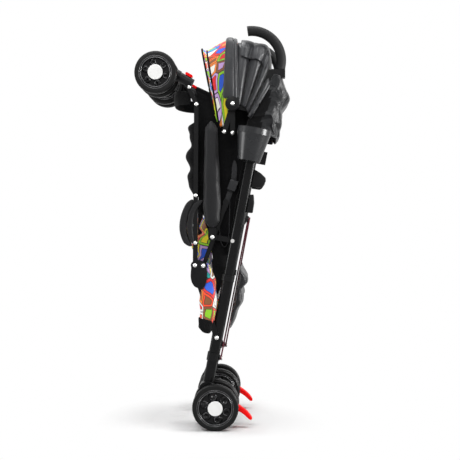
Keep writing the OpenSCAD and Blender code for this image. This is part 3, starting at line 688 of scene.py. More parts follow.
def declare(obj: Obj, width: float) -> None:
    """States a cloth's flat size: its width, and a length from its mesh's area with a tenth more for hems.

    Args:
        obj: The cloth.
        width: Its flat width in metres.
    """
    area = sum(p.area for p in obj.data.polygons)
    length = ceil(area / width * 110) / 100
    LOG.info("%s: %.2f by %.2f m, %.3f square metres", obj.name, width, length, area)


class Side(Enum):
    """The stroller's two sides, with the sign of their Y."""

    LEFT = -1
    RIGHT = 1

    @property
    def word(self) -> str:
        """The side's name, as the bodies use it."""
        return self.name.lower()

    def across(self, inward: float) -> float:
        """Gives the Y of a lane measured inwards from a main tube, in millimetres."""
        return self.value * (LAYOUT.half_gap - inward)


@dataclass
class Studio:
    """Camera, lamps, white world and pale floor."""

    camera_at: tuple[float, float, float] = (0.119, -2.228, 0.583)
    yaw: float = 1.84
    pitch: float = -1.49
    view_angle: float = 31.74
    floor_radius: float = 2.6
    floor_tone: float = 0.8
    floor_fade: tuple[float, float] = (0.17, 0.32)
    soft_light: float = 0.17

    def build(self) -> None:
        """Sets up the whole studio."""
        scene = bpy.context.scene
        scene.view_settings.view_transform = "Standard"
        self.camera(scene)
        self.world(scene)
        self.floor()
        self.lamp("key", (-0.5, -2.4, 2.6), (0.0, 0.0, 0.6), 1.5, 44.0)
        self.lamp("fill", (1.5, -2.4, 1.4), (0.0, 0.0, 0.6), 1.5, 16.0)
        self.lamp("rear", (1.5, -0.2, 2.5), (0.1, 0.0, 0.6), 1.0, 34.0)
        self.lamp("front", (-1.7, 0.3, 2.2), (-0.1, 0.0, 0.6), 1.0, 14.0)
        self.lamp("top", (0.0, 0.1, 2.9), (0.0, 0.0, 0.6), 1.2, 50.0)
        self.lamp("right_strip", (2.2, -0.6, 0.8), (0.1, 0.0, 0.6), 0.9, 115.0, shine_only=True)
        self.lamp("left_strip", (-2.2, -0.6, 0.8), (-0.1, 0.0, 0.6), 0.9, 26.0, shine_only=True)

    def camera(self, scene: bpy.types.Scene) -> None:
        """Stands the camera where the photograph was taken from."""
        data = bpy.data.cameras.new("camera")
        data.angle = radians(self.view_angle)
        obj = put("camera", data)
        obj.location = self.camera_at
        obj.rotation_euler = (radians(90 + self.pitch), 0.0, radians(self.yaw))
        scene.camera = obj

    def world(self, scene: bpy.types.Scene) -> None:
        """Makes the world white where it is seen, and soft where it lights."""
        world = bpy.data.worlds.new("studio")
        tree = blank_tree(world)
        level = add_node(tree, "ShaderNodeMapRange",
                         {"Value": seen_rays(tree), "To Min": self.soft_light, "To Max": 1.0})
        glow = add_node(tree, "ShaderNodeBackground", {"Color": (1.0, 1.0, 1.0, 1.0), "Strength": level})
        add_node(tree, "ShaderNodeOutputWorld", {"Surface": glow})
        scene.world = world

    def floor(self) -> None:
        """Lays a round pale floor that keeps the shadow and fades into the white."""
        bm = bmesh.new()
        bmesh.ops.create_circle(bm, cap_ends=True, segments=96, radius=self.floor_radius)
        mesh = bpy.data.meshes.new("floor")
        bm.to_mesh(mesh)
        bm.free()
        obj = put("floor", mesh)
        material = bpy.data.materials.new("pale_floor")
        tree = blank_tree(material)
        spot = add_node(tree, "ShaderNodeTexCoord").outputs["Object"]
        far = add_node(tree, "ShaderNodeVectorMath", {0: spot}, operation="LENGTH").outputs["Value"]
        near, end = self.floor_fade
        fade = add_node(tree, "ShaderNodeMapRange", {"Value": far, "From Min": near, "From Max": end})
        seen = add_node(tree, "ShaderNodeMath", {0: seen_rays(tree), 1: fade}, operation="MULTIPLY")
        matt = add_node(tree, "ShaderNodeBsdfDiffuse", {"Color": (*[self.floor_tone] * 3, 1.0)})
        glow = add_node(tree, "ShaderNodeEmission", {"Strength": 1.0})
        mix = add_node(tree, "ShaderNodeMixShader", {0: seen, 1: matt, 2: glow})
        add_node(tree, "ShaderNodeOutputMaterial", {"Surface": mix})
        mesh.materials.append(material)

    @staticmethod
    def lamp(name: str, at: tuple[float, float, float], to: tuple[float, float, float], size: float,
             watts: float, shine_only: bool = False) -> None:
        """Adds one soft square lamp.

        Args:
            name: The lamp's name.
            at: Where it stands.
            to: What it looks at.
            size: Its side in metres.
            watts: Its power.
            shine_only: Whether it shows in highlights alone, as a narrow reflector does.
        """
        data = bpy.data.lights.new(name, "AREA")
        data.size = size
        data.energy = watts
        obj = put(name, data)
        obj.visible_diffuse = not shine_only
        obj.location = at
        obj.rotation_euler = (Vector(to) - Vector(at)).to_track_quat("-Z", "Y").to_euler()


def prism(name: str, finish: Finish, outline: Table, centre_y: float, width: float, body: str,
          round_mm: float = 2.0) -> None:
    """Makes a moulded piece from its outline in the side view.

    Args:
        name: The piece's name.
        finish: What it is made of.
        outline: Its corners: place behind the tube and height along it.
        centre_y: Where its middle lies across the stroller.
        width: Its width across.
        body: The body it rides.
        round_mm: Radius of its edges.
    """
    bm = bmesh.new()
    made = bmesh.ops.create_circle(bm, cap_ends=True, segments=len(outline), radius=1.0)["verts"]
    for vert, (x, s) in zip(made, outline):
        vert.co = LAYOUT.tube(x, s, centre_y - width / 2)
    grown = bmesh.ops.extrude_face_region(bm, geom=bm.faces[:])["geom"]
    bmesh.ops.translate(bm, vec=(0, width * MM, 0), verts=[v for v in grown if isinstance(v, bmesh.types.BMVert)])
    bmesh.ops.recalc_face_normals(bm, faces=bm.faces)
    bmesh.ops.bevel(bm, geom=bm.edges[:], offset=round_mm * MM, segments=3, profile=0.5, affect="EDGES", material=-1)
    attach(make_object(bm, name, finish), body)


@dataclass
class Hardware:
    """Tubes, joints, wheels and fasteners."""

    dome_mm: float = 5.2
    rise_mm: float = 3.0
    rim_wall: float = 5.2

    def build(self, nodes: dict[str, Obj]) -> None:
        """Coats the solids and adds rivets, fittings, pedals and wheel faces.

        Args:
            nodes: The solids by name.
        """
        looks = {
            BLACK_PAINT: ("main_tube", "link_plates"), TUBE_PAINTED_PALER: ("front_leg", "seat_tube"), MAROON: ("brace_bar",),
            BLACK_PLASTIC: ("handle_knuckle", "rear_housing", "side_brackets", "swivel_sleeve", "front_fork",
                            "armrest_arm", "brace_slider", "canopy_arm", "cup_clamp"),
            GREY_PLASTIC: ("cup_holder",), RED_PLASTIC: ("brake_lever", "swivel_lock"), FOAM: ("handle_grip",),
            STEEL: ("rear_axle", "frame_rivets", "link_pins"), TYRE: ("front_tyres", "rear_tyres"),
            WHEEL_PLASTIC: ("front_rims", "rear_rims"), CAP_PLASTIC: ("front_caps", "rear_caps"),
        }
        finish_of = {stem: finish for finish, stems in looks.items() for stem in stems}
        for name, obj in nodes.items():
            stem = name.removesuffix("_left").removesuffix("_right")
            if stem in finish_of:
                FINISHES.coat(obj, finish_of[stem])
        for side in Side:
            self.rivets(side)
            self.fittings(side)
            self.pedal(side)
            for axle in ("rear", "front"):
                low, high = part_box(f"{axle}_rims_{side.word}")
                self.dishes(side, axle, (high.z - low.z) / (2 * MM) - self.rim_wall)

    def rivets(self, side: Side) -> None:
        """Sets the bright domed rivets of one side.

        Args:
            side: Which side.
        """
        plate, bracket, leg, hood = -14.3, -11, -8.0, -28.4
        sets = {
            f"{side.word}_frame": ((-82.3, 723, plate), (-60.3, 724, plate), (-61.6, 444, bracket)),
            f"lower_link_{side.word}": ((0.0, 184, plate), (-92.7, 362, plate), (-70.9, 365, plate)),
            f"front_leg_{side.word}": ((-103.2, 420, leg), (-125.5, 544, leg), (-168.8, 781, leg),
                                       (-196, 822, leg)),
            f"canopy_{side.word}": ((-74.3, 798, hood),),
        }
        for body, spots in sets.items():
            bm = bmesh.new()
            for x, s, face in spots:
                self.dome(bm, LAYOUT.tube(x, s, side.across(face)), side)
            piece = make_object(bm, f"rivets_{body}", STEEL)
            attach(piece, body)
            LOG.info("rivets on %s", body)

    def dome(self, bm: Mesh, at: Vector, side: Side) -> None:
        """Adds one low dome that faces outwards.

        Args:
            bm: The mesh that gets it.
            at: Its foot.
            side: The side it faces.
        """
        upright = Matrix.Rotation(radians(90), 4, "X")
        flat = Matrix.Diagonal((self.dome_mm * MM, self.rise_mm * MM, self.dome_mm * MM, 1.0))
        made = bmesh.ops.create_uvsphere(bm, u_segments=20, v_segments=12, radius=1.0,
                                         matrix=Matrix.Translation(at) @ flat @ upright)["verts"]
        geom = list({f for v in made for f in v.link_faces}) + list({e for v in made for e in v.link_edges}) + made
        bmesh.ops.bisect_plane(bm, geom=geom, plane_co=at, plane_no=(0, -side.value, 0), clear_outer=True)
        bmesh.ops.holes_fill(bm, edges=[e for e in bm.edges if e.is_boundary], sides=0)

    @staticmethod
    def dishes(side: Side, axle: str, reach: float) -> None:
        """Sets a dished face with six curled petals in each wheel, and two bright rings round it.

        Args:
            side: Which side.
            axle: "rear" or "front".
            reach: The rim's inner radius in millimetres.
        """
        low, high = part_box(f"{axle}_tyres_{side.word}")
        middle = (low + high) / 2
        hub, floor, crown, hollow, lip_rise = 18.7, 39.3, 5.8, 4.6, 3.2
        petals, sector, twist = 6, pi / 3, 0.7
        lip_depth, ring_depth, lip_from = 43, 45.6, 0.86
        centre = (hub + reach) / 2
        size = (reach - hub) / 2 - 0.4
        bm, lips = bmesh.new(), bmesh.new()
        for way in (-1, 1):

            def spot(radius: float, turn: float, depth: float) -> Vector:
                """Places a point of the wheel's face."""
                return middle + Vector((cos(turn) * radius, way * depth, sin(turn) * radius)) * MM

            def place(u: float, w: float) -> Vector:
                """Places one point of the dish, raised where it lies on a petal."""
                radius, turn = hub + (reach - hub) * u, tau * w
                near = (turn / sector - twist + 0.5) % 1.0 - 0.5
                east = radius * cos(near * sector) - centre
                north = radius * sin(near * sector) * way
                far = hypot(east, north) / size
                # The bowl lies off the petal's middle, so each petal looks curled.
                bowl = hypot(east - 0.2 * size, north - 0.3 * size) / (0.62 * size)
                dome = sqrt(max(0.0, 1 - far * far)) ** 0.6 * crown - hollow * max(0.0, 1 - bowl * bowl)
                lip = lip_rise * (max(0.0, u - lip_from) / (1 - lip_from)) ** 2
                return spot(radius, turn, floor + (max(0.4, dome) if far < 1.0 else 0.0) + lip)

            surface(bm, 34, 192, place, (0.03, 0.2), closed=True)
            for k in range(petals):
                turn = (k + twist) * sector
                heart = spot(centre, turn, lip_depth)
                arc = [turn + way * radians(60 + 11 * step) for step in range(17)]
                pipe(lips, [heart + Vector((cos(a), 0, sin(a))) * size * 0.74 * MM for a in arc], 1.3, 34)
            for radius, thick in ((reach + 1.0, 1.5), (reach + 5.2, 1.2)):
                pipe(lips, [spot(radius, radians(6 * step), ring_depth) for step in range(61)], thick, 120)
        # Faces at the dish floor, between the petals, take the near-black finish as painted shade.
        for face in bm.faces:
            depth = abs(face.calc_center_median().y - middle.y) / MM
            face.material_index = int(depth < floor + 0.3)
        # The petal lips and the two rings take the paler lip finish, a painted highlight.
        for name, mesh, finish in (("dishes", bm, WHEEL_PLASTIC), ("lips", lips, WHEEL_LIP_PAINTED_HIGHLIGHT)):
            piece = make_object(mesh, f"{axle}_wheel_{name}_{side.word}", finish)
            piece.data.materials.append(FINISHES.material(WHEEL_GAP_PAINTED_SHADE))
            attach(piece, f"{axle}_wheels_{side.word}")

    @staticmethod
    def pedal(side: Side) -> None:
        """Moulds one brake pedal as a smooth drooping lever.

        Args:
            side: Which side.
        """
        line = [Vector((x, 0, z)) for x, z in ((20, 76), (42, 63), (62, 52), (80, 39), (96, 21))]
        half: Table = ((0.0, 10), (0.4, 7.6), (0.75, 6.4), (1.0, 4.4))
        half_width = 8.3

        def place(u: float, w: float) -> Vector:
            """Places one point of the pedal's skin."""
            here = run_of(line, u)
            along = heading(line, u)
            up = Vector((-along.z, 0, along.x))
            a = tau * w
            close = min(1.0, 12 * min(u, 1 - u)) ** 0.5
            here = here + up * blend_table(half, u) * close * power(sin(a), 0.5)
            return LAYOUT.row(here.x, side.across(0.0) + half_width * close * power(cos(a), 0.3), here.z)

        piece = skin(f"brake_pedal_{side.word}", RED_PLASTIC, (40, 32), place, (0.1, 0.06), closed=True)
        smooth(piece)
        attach(piece, f"brake_{side.word}")
        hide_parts(f"brake_lever_{side.word}")

    @staticmethod
    def fittings(side: Side) -> None:
        """Adds the pivot and hinge covers, the harness buckle, the latch behind the tube and the brace's housing.

        Args:
            side: Which side.
        """
        frame = f"{side.word}_frame"
        buckle = ((-49, 576), (-26, 573), (-21, 602), (-44, 605))
        latch = ((14.3, 641), (33, 634), (48, 624), (50, 615), (44, 600), (38, 595), (14.3, 594))
        wedge = ((14.5, 573), (25, 575), (30, 555), (31, 526), (14.5, 524))
        disc = tuple((-74.3 + 19.0 * cos(a), 798.0 + 19.0 * sin(a)) for a in turns(36))
        plate = tuple((-78.0 + 22.0 * power(cos(a), 0.8) - 6.5 * sin(a),
                       341.0 + 37.0 * power(sin(a), 0.8)) for a in turns(40))
        prism(f"canopy_pivot_cover_{side.word}", BLACK_PLASTIC, disc, side.across(-24.6), 8.0, f"canopy_{side.word}",
              1.2)
        prism(f"hinge_cover_{side.word}", BLACK_PLASTIC, plate, side.across(-13.3), 1.8, f"lower_link_{side.word}", 0.6)
        prism(f"harness_buckle_{side.word}", GREY_PLASTIC, buckle, side.across(20.5), 13, frame)
        prism(f"fold_latch_{side.word}", BLACK_PLASTIC, latch, side.across(2.0), 11, frame)
        prism(f"brace_housing_{side.word}", BLACK_PLASTIC, wedge, side.across(0.0), 12, f"slider_{side.word}")


@dataclass
class Canopy:
    """Printed front, bow sleeve, gathered rear and its hanging curtain."""

    pivot: tuple[float, float] = (44.6, 858.8)
    front_half: float = 94.0
    sleeve_half: float = 127.5
    rear_half: float = 124.5
    bow_h: float = 178.0
    folds: float = 3.6
    fold_depth: float = 15.0

    def build(self) -> None:
        """Makes every piece of the canopy."""
        self.front()
        self.sleeve()
        self.rear()
        self.curtain()

    def front(self) -> None:
        """Sews the printed panel from the front rim to the bow, with a tail under the rear part."""
        base = ((-49, -24), (-36, -60), (-17, -58), (0.0, -20))
        crest = ((-86, 161), (-72, 158), (-6, 190), (78, 118))
        edge, sag_mm = 0.004, 3.0

        def place(u: float, w: float) -> Vector:
            """Places one point of the hood."""
            low = self.between(base, u)
            high = self.between(crest, u)
            a = pi * (edge + (1 - 2 * edge) * w)
            bend = 0.55 - 0.3 * sin(pi * min(1.0, 0.75 * u))
            start = sin(pi * edge) ** bend
            rise = (sin(a) ** bend - start) / (1 - start)
            sag = sag_mm * sin(pi * min(1.0, 2 * u)) * sin(pi * w) ** 2
            y = -self.front_half * power(cos(a), 0.5)
            x = low[0] + (high[0] - low[0]) * rise
            z = low[1] + (high[1] - low[1]) * rise - sag
            return LAYOUT.row(self.pivot[0] + x, y, self.pivot[1] + z)

        cloth = skin("canopy_front_cloth", PRINT, (36, 64), place, (0.2, 0.62))
        thicken(cloth, 1.6)
        spread(cloth, "canopy_left", "canopy_right")
        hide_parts("canopy_front")
        declare(cloth, 0.62)
        for name, share in (("visor", 0.0), ("rim", 1 / 3)):
            trim = piping(f"canopy_{name}_piping", BLACK_CLOTH, [place(share, k / 40) for k in range(41)], 2.6)
            spread(trim, "canopy_left", "canopy_right")

    @staticmethod
    def between(points: Table, u: float) -> tuple[float, float]:
        """Reads a line of side-view points, straight between them."""
        span = u * (len(points) - 1)
        i = min(int(span), len(points) - 2)
        f = span - i
        return tuple(a + (b - a) * f for a, b in zip(points[i], points[i + 1]))

    def sleeve(self) -> None:
        """Makes the wide grey sleeve over the bow, with a black piping along each seam."""
        half = self.sleeve_half
        arch = ((-half, 14), (-half, 50), (-half, 90), (1.5 - half, 130), (9.0 - half, 160),
                (32.0 - half, 173), (-50, 177), (0.0, self.bow_h))
        line = [Vector((0, y, z)) for y, z in arch]
        line += [Vector((0, -y, z)) for y, z in reversed(arch[:-1])]
        foot_half, top_half, foot_lean, top_lean = 22, 14.5, -4.5, -3.0
        full, ripple, stitch = 6.0, 1.2, 3.0

        def place(u: float, w: float) -> Vector:
            """Places one point of the sleeve's skin, round its flat section."""
            here = run_of(line, u)
            out = Vector((-1, 0, 0)).cross(heading(line, u))
            rise = here.z / self.bow_h
            wide = foot_half + (top_half - foot_half) * rise
            lean = foot_lean + (top_lean - foot_lean) * rise
            b = tau * w
            edge = power(cos(b), 0.75)
            seam = exp(-((edge - 0.42) / 0.1) ** 2) + 0.7 * exp(-((edge - 0.78) / 0.08) ** 2)
            puff = full + ripple * sin(26 * u + 2 * edge) - stitch * seam
            at = LAYOUT.row(self.pivot[0] + lean + wide * edge, here.y, self.pivot[1] + here.z)
            return at + out * power(sin(b), 0.9) * puff * MM

        piece = skin("canopy_bow_sleeve", BOW_CLOTH_PAINTED_PALER, (96, 56), place, (0.6, 0.09), closed=True, capped=True)
        smooth(piece)
        spread(piece, "canopy_left", "canopy_right")
        for name, share in (("rear", 0.36), ("front", 0.14)):
            seam = piping(f"canopy_bow_piping_{name}", BLACK_CLOTH, [place(k / 60, share) for k in range(61)], 1.3)
            spread(seam, "canopy_left", "canopy_right")

    def rear(self) -> None:
        """Gathers the rear of the canopy in folds between the bow and the handle."""
        crest = ((57, 1029), (93, 1023), (122, 1016), (140, 1007), (147, 980), (148, 952), (152, 928))
        line = [Vector((x, z, 0)) for x, z in crest]
        front_foot, rear_foot = Vector((53, 814)), Vector((73, 796))
        edge, crease_mm, fold_rise = 0.006, 1.1, 2.5

        def place(u: float, w: float, lift: float = 0.0) -> Vector:
            """Places one point of the gathered hood, lifted off it by some millimetres."""
            high = run_of(line, u)
            a = pi * (edge + (1 - 2 * edge) * w)
            rise = sin(a) ** 0.4
            lean = self.folds * u + 0.12 * sin(9 * w) + 0.1 * sin(6 * u) + 0.1
            fold = (2 * abs(sin(pi * lean)) ** 0.6 - 1) * (0.25 + 0.75 * rise) * min(1.0, 0.3 + 6 * u)
            crease = crease_mm * sin(31 * u + 9 * w) * sin(14 * w + 3 * u)
            wide = self.rear_half - 1.0 + lift + self.fold_depth * fold * abs(cos(a)) + crease
            foot = front_foot.lerp(rear_foot, u)
            x = foot.x + (high.x - foot.x) * rise
            z = foot.y + (high.y - foot.y) * rise + (fold_rise * fold + lift) * sin(a)
            return LAYOUT.row(x, -wide * power(cos(a), 0.3), z)

        cloth = skin("canopy_rear_cloth", BOW_CLOTH_PAINTED_PALER, (132, 80), place, (0.3, 0.7))
        thicken(cloth, 1.4)
        spread(cloth, "left_frame", "right_frame")
        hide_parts("canopy_rear")
        declare(cloth, 0.76)
        flap = skin("canopy_flap", BOW_CLOTH_PAINTED_PALER, (24, 48),
                    lambda u, w: place(0.06 + 0.58 * u, 0.17 + 0.66 * w, 6.5 + 1.5 * u), (0.1, 0.5))
        thicken(flap, 1.6)
        spread(flap, "left_frame", "right_frame")
        declare(flap, 0.5)
        hem = piping("canopy_rear_binding", BOW_CLOTH_PAINTED_PALER, [place(1.0, k / 60) for k in range(61)], 5.6)
        spread(hem, "left_frame", "right_frame")

    def curtain(self) -> None:
        """Hangs the bagging curtain behind the tubes: front edge, height and back of each row."""
        outline = ((152, 936, 174), (138, 908, 184), (122, 880, 195), (106, 854, 177), (93, 832, 176),
                   (82, 812, 175), (82, 796, 169), (104, 782, 167), (132, 774, 160))
        rows = [Vector(p) for p in outline]
        ripple, bag, pucker, inmost = 6.0, 5.5, 3.0, -1.5

        def place(u: float, w: float) -> Vector:
            """Places one point of the curtain: near edge, round behind, far edge."""
            line = run_of(rows, u)
            y = self.rear_half * power(sin(pi * (w - 0.5)), 0.35)
            back = sin(pi * w) ** 0.35
            wave = ripple * (1.2 - 2 * abs(sin(6 * u + 1.6 * sin(8 * w) + 0.5)) ** 0.7) * back
            bulge = bag * (1 - 2 * abs(sin(7 * u + 2.2 * sin(9 * w + 2 * u) + 0.6)) ** 0.6)
            bulge = (bulge + pucker * sin(17 * w - 9 * u) * sin(11 * u + 4 * w)) * sin(pi * u)
            y += max(inmost, bulge) * copysign(abs(cos(pi * w)) ** 0.5, y)
            return LAYOUT.row(line.x + (line.z - line.x) * back - wave * 0.4 * sin(pi * w), y, line.y + wave)

        cloth = skin("canopy_curtain", GREY_CLOTH, (84, 96), place, (0.24, 0.4))
        # The faces beside the tube, on both sides, take the black cloth: a black panel, darkened further as painted
        # shade.
        cloth.data.materials.append(FINISHES.material(BLACK_CLOTH))
        for face in cloth.data.polygons:
            face.material_index = int(self.shaded(face.center))
        thicken(cloth, 1.4)
        spread(cloth, "left_frame", "right_frame")
        declare(cloth, 0.46)

    def shaded(self, spot: Vector) -> bool:
        """Tells whether a point of the curtain lies on the black side panel beside the tube, whose black also stands in
        as painted shade.

        Args:
            spot: The point.

        Returns:
            True on the side panel, ahead of the pale folds at the back.
        """
        x, y, z = spot.x / MM + LAYOUT.origin_x, abs(spot.y / MM + LAYOUT.origin_y), spot.z / MM
        seam = 126.0 + 0.17 * (z - 800) + 7.0 * sin(0.06 * z)
        return y > 0.9 * self.rear_half and x < seam


def pillow(name: str, finish: AnyFinish, half: float, line: Table, front: Table, rear: Table,
           channels: int, depth: float, rows: int = 64, ruck: float = 0.0) -> Obj:
    """Makes a sewn pad that lies beside the main tubes.

    Args:
        name: The piece's name.
        finish: Its cloth.
        half: Half its width in millimetres.
        line: Height along the tube to the middle's place behind it.
        front: Height to the thickness ahead of the middle.
        rear: Height to the thickness behind the middle.
        channels: How many sewn channels run across it.
        depth: How deep they are, as a share of the thickness.
        rows: Cells along it.
        ruck: Height of the soft rucks in its cloth, in millimetres.

    Returns:
        The pad.
    """
    low, high = line[0][0], line[-1][0]
    edge, cloth_mm = 0.004, 0.8

    def place(u: float, w: float) -> Vector:
        """Places one point of the pad's skin."""
        s = low + (high - low) * u
        a = tau * w
        crown = max(0.0, sin(pi * (edge + (1 - 2 * edge) * u))) ** 0.3
        sewn = 1 - depth * abs(cos(pi * channels * u)) ** 8
        ahead = sin(a) < 0
        thick = blend_table(front if ahead else rear, s) * crown * sewn + cloth_mm
        y = half * power(cos(a), 0.3) * (1 - 0.03 * sin(pi * u)) * (0.97 + 0.03 * crown)
        if u in (0.0, 1.0):
            thick = 0.0
        slant = 0.07 * s - 0.03 * y + 0.8 * sin(0.04 * y)
        fold = ruck * crown * sin(0.05 * y + 0.035 * s) * sin(slant)
        return LAYOUT.tube(blend_table(line, s) + thick * power(sin(a), 0.7) + fold, s, y)

    pad = skin(name, finish, (rows, 72), place, ((high - low) * MM, 4 * half * MM), closed=True)
    smooth(pad)
    LOG.info("%s sewn", name)
    return pad


def roll(name: str, finish: AnyFinish, line: Table, half_x: Table, half_y: Table, centre_y: float,
         rows: int, wave: float) -> Obj:
    """Makes a soft roll of cloth that stands beside the main tube.

    Args:
        name: The piece's name.
        finish: Its cloth.
        line: Height along the tube to the middle's place behind it.
        half_x: Height to half its depth, front to back.
        half_y: Height to half its thickness, side to side.
        centre_y: Where its middle lies across the stroller.
        rows: Cells along it.
        wave: Height of its folds in millimetres.

    Returns:
        The roll.
    """
    low, high = line[0][0], line[-1][0]

    def place(u: float, w: float) -> Vector:
        """Places one point of the roll's skin."""
        s = low + (high - low) * u
        a = tau * w
        close = min(1.0, 12 * min(u, 1 - u)) ** 0.5
        x = blend_table(half_x, s) * close * power(cos(a), 0.6)
        fold = wave * sin(0.11 * x + 0.035 * s) * sin(0.05 * x - 0.02 * s)
        y = (blend_table(half_y, s) * power(sin(a), 0.6) + fold) * close
        return LAYOUT.tube(blend_table(line, s) + x, s, centre_y + y)

    piece = skin(name, finish, (rows, 64), place, ((high - low) * MM, 0.2), closed=True)
    smooth(piece)
    return piece


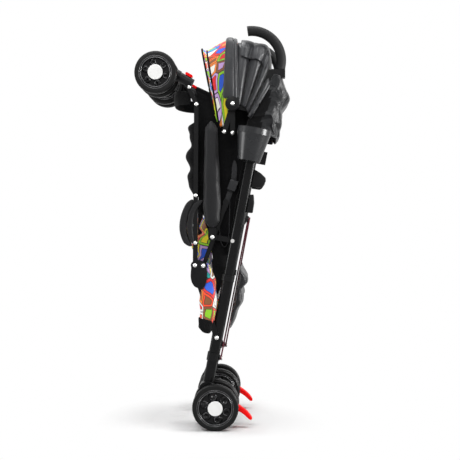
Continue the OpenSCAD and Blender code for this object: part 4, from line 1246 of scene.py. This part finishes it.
@dataclass
class SeatGoods:
    """Seat, backrest, calf rest and what hangs from them."""

    def build(self) -> None:
        """Makes the sewn pads and loops."""
        seat = pillow("seat_cushion", PRINT, 70, ((218, -34), (300, -38), (365, -70), (560, -43)),
                      ((218, 12), (300, 20), (365, 34), (395, 50), (440, 50), (490, 56), (522, 40), (560, 9)),
                      ((218, 10), (300, 18), (365, 12), (560, 9)), 6, 0.3, 96)
        spread(seat, "seat_left", "seat_right")
        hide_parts("seat_pad")
        back = pillow("backrest_panel", BLACK_CLOTH, 92, ((402, -12), (600, -13), (773, -22)),
                      ((402, 8), (773, 8)), ((402, 8), (773, 8)), 4, 0.5, ruck=1.6)
        spread(back, "left_frame", "right_frame")
        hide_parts("backrest")
        calf = pillow("calf_rest", BLACK_CLOTH, 98, ((540, -126), (738, -160)),
                      ((540, 22), (565, 32), (600, 34), (618, 24), (640, 32), (680, 18), (700, 22),
                       (724, 37), (738, 30)),
                      ((540, 1), (738, 1)), 3, 0.25)
        spread(calf, "front_leg_left", "front_leg_right")
        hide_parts("footrest")
        basket = pillow("folded_basket", GREY_CLOTH, 94, ((210, 30), (289, 34), (348, 34), (380, 27)),
                        ((210, 1.5), (289, 5), (348, 5), (380, 1.5)),
                        ((210, 4), (250, 10), (300, 15), (316, 9), (345, 21), (380, 2)), 3, 0.1, ruck=3.2)
        spread(basket, "left_frame", "right_frame")
        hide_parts("basket")
        self.foot_strap()
        for side in Side:
            self.wing(side)
            self.cover(side)
            self.loops(side)

    @staticmethod
    def foot_strap() -> None:
        """Slings the foot strap between the front legs, bulging ahead of them."""
        leg_x, low_z, width, bulge_mm, sag_mm, lift_mm = -66, 860, 32, 50, 4.0, 9.0

        def place(u: float, w: float) -> Vector:
            """Places one point of the strap."""
            y = LAYOUT.half_cloth * (2 * u - 1)
            bulge = sqrt(max(0.0, 1 - abs(2 * u - 1) ** 2.4))
            x = leg_x - (bulge_mm + sag_mm * sin(pi * w)) * bulge
            return LAYOUT.row(x, y, low_z + width * w + lift_mm * bulge * (w + 0.2))

        strap = skin("foot_strap", BLACK_CLOTH, (60, 12), place, (0.24, 0.04))
        thicken(strap, 2.4)
        spread(strap, "front_leg_left", "front_leg_right")
        declare(strap, 0.24)

    @staticmethod
    def wing(side: Side) -> None:
        """Hangs the black side panel between the front leg and the main tube.

        Args:
            side: Which side.
        """
        edges = ((292, -30, -12), (330, -42, -12), (384, -52, -12), (420, -62, -12), (450, -76, -12),
                 (484, -92, -12), (520, -118, -12), (620, -137, -12), (722, -155, -12), (762, -164, -12),
                 (792, -180, -14), (808, -196, -40), (822, -204, -120), (832, -200, -160))
        wing = roll(f"side_wing_{side.word}", BLACK_CLOTH, tuple((s, (a + b) / 2) for s, a, b in edges),
                    tuple((s, (b - a) / 2) for s, a, b in edges), ((292, 2),), side.across(30.5), 110, 2.6)
        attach(wing, f"{side.word}_frame")

    @staticmethod
    def cover(side: Side) -> None:
        """Wraps the lower link in printed cloth with a black hem.

        Args:
            side: Which side.
        """
        printed = roll(f"link_cover_{side.word}", PRINT,
                       ((206, -33), (236, -35), (275, -40.5), (320, -50), (374, -62)),
                       ((206, 18), (236, 20.5), (275, 24), (320, 22), (374, 11)),
                       ((206, 16.5), (285, 16.5), (325, 8.6), (374, 7.5)), side.across(0.0), 56, 1.0)
        hem = roll(f"link_hem_{side.word}", BLACK_CLOTH, ((188, -30), (204, -35), (230, -37)),
                   ((188, 10), (204, 19), (230, 21.5)), ((188, 14), (204, 17.4), (230, 17.4)),
                   side.across(0.0), 28, 0.6)
        for piece in (printed, hem):
            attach(piece, f"lower_link_{side.word}")

    @staticmethod
    def loops(side: Side) -> None:
        """Hangs the padded loops on the front leg and the webbing beside the tube.

        Args:
            side: Which side.
        """
        runs = {
            "leg_pad_outer": (4.0, 24, 15,
                              ((-62, 606), (-74, 588), (-84, 560), (-87, 530), (-80, 502), (-66, 486))),
            "leg_pad_inner": (-4.0, 12, 11,
                              ((-36, 604), (-52, 592), (-64, 570), (-68, 540), (-66, 512), (-60, 492))),
        }
        for name, (inward, width, thick, route) in runs.items():
            lane = side.across(inward)
            piece = band(f"{name}_{side.word}", PAD_CLOTH, [LAYOUT.row(x, lane, z) for x, z in route], width, thick,
                         swell=0.35)
            settle(piece)
            smooth(piece)
            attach(piece, f"front_leg_{side.word}")
        lane = side.across(26.5)
        route = ((33, 640), (36, 600), (35, 560), (34, 520), (30, 492), (22, 481), (14, 490), (9, 515), (8, 545))
        strap = band(f"side_webbing_{side.word}", WEBBING, [LAYOUT.row(x, lane, z) for x, z in route], 5.0, 2.6,
                     rows=64)
        smooth(strap)
        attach(strap, f"{side.word}_frame")
        harness = ((-50, 500), (-43, 545), (-36, 590), (-37, 622), (-43, 656))
        belt = band(f"harness_strap_{side.word}", WEBBING, [LAYOUT.tube(x, s, side.across(26)) for x, s in harness],
                    1.8, 15, rows=32)
        smooth(belt)
        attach(belt, f"{side.word}_frame")


@dataclass
class ArmPads:
    """Soft pads on the two armrests."""

    start: tuple[float, float] = (-61.6, 444)
    end: tuple[float, float] = (-117.5, 721)
    gap: float = 24.0
    over: float = 22.0
    half_w: Table = ((0.0, 14), (0.08, 20), (0.25, 25), (0.5, 24), (0.75, 21), (0.92, 17), (1.0, 11))
    half_t: Table = ((0.0, 8.0), (0.1, 11.5), (0.5, 14), (0.9, 12), (1.0, 7.0))
    outward: float = 3.0

    def build(self) -> None:
        """Sews both pads."""
        for side in Side:
            self.pad(side)

    def pad(self, side: Side) -> None:
        """Sews one pad along its arm.

        Args:
            side: Which side.
        """
        run = Vector((self.end[0] - self.start[0], self.end[1] - self.start[1]))
        way = run.normalized()
        normal = Vector((way.y, -way.x))

        def place(u: float, w: float) -> Vector:
            """Places one point of the pad's skin."""
            a = tau * w
            close = min(1.0, 14 * min(u, 1 - u)) ** 0.45
            wide = blend_table(self.half_w, u) * close * power(cos(a), 0.85)
            thick = blend_table(self.half_t, u) * close * power(sin(a), 0.95)
            at = Vector(self.start) + way * (self.gap + (run.length + self.over - self.gap) * u) + normal * wide
            return LAYOUT.tube(at.x, at.y, side.across(-self.outward) + thick)

        pad = skin(f"armrest_cover_{side.word}", PAD_CLOTH, (56, 40), place, (0.26, 0.12), closed=True)
        settle(pad)
        smooth(pad)
        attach(pad, f"armrest_{side.word}")
        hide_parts(f"armrest_pad_{side.word}")
        LOG.info("armrest pad, %s", side.word)


def main() -> None:
    """Builds every sub-assembly in order."""
    logging.basicConfig(level=logging.INFO, format="%(name)s: %(message)s")
    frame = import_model()
    Studio().build()
    Hardware().build(frame["nodes"])
    Canopy().build()
    SeatGoods().build()
    ArmPads().build()


if __name__ == "__main__":
    main()
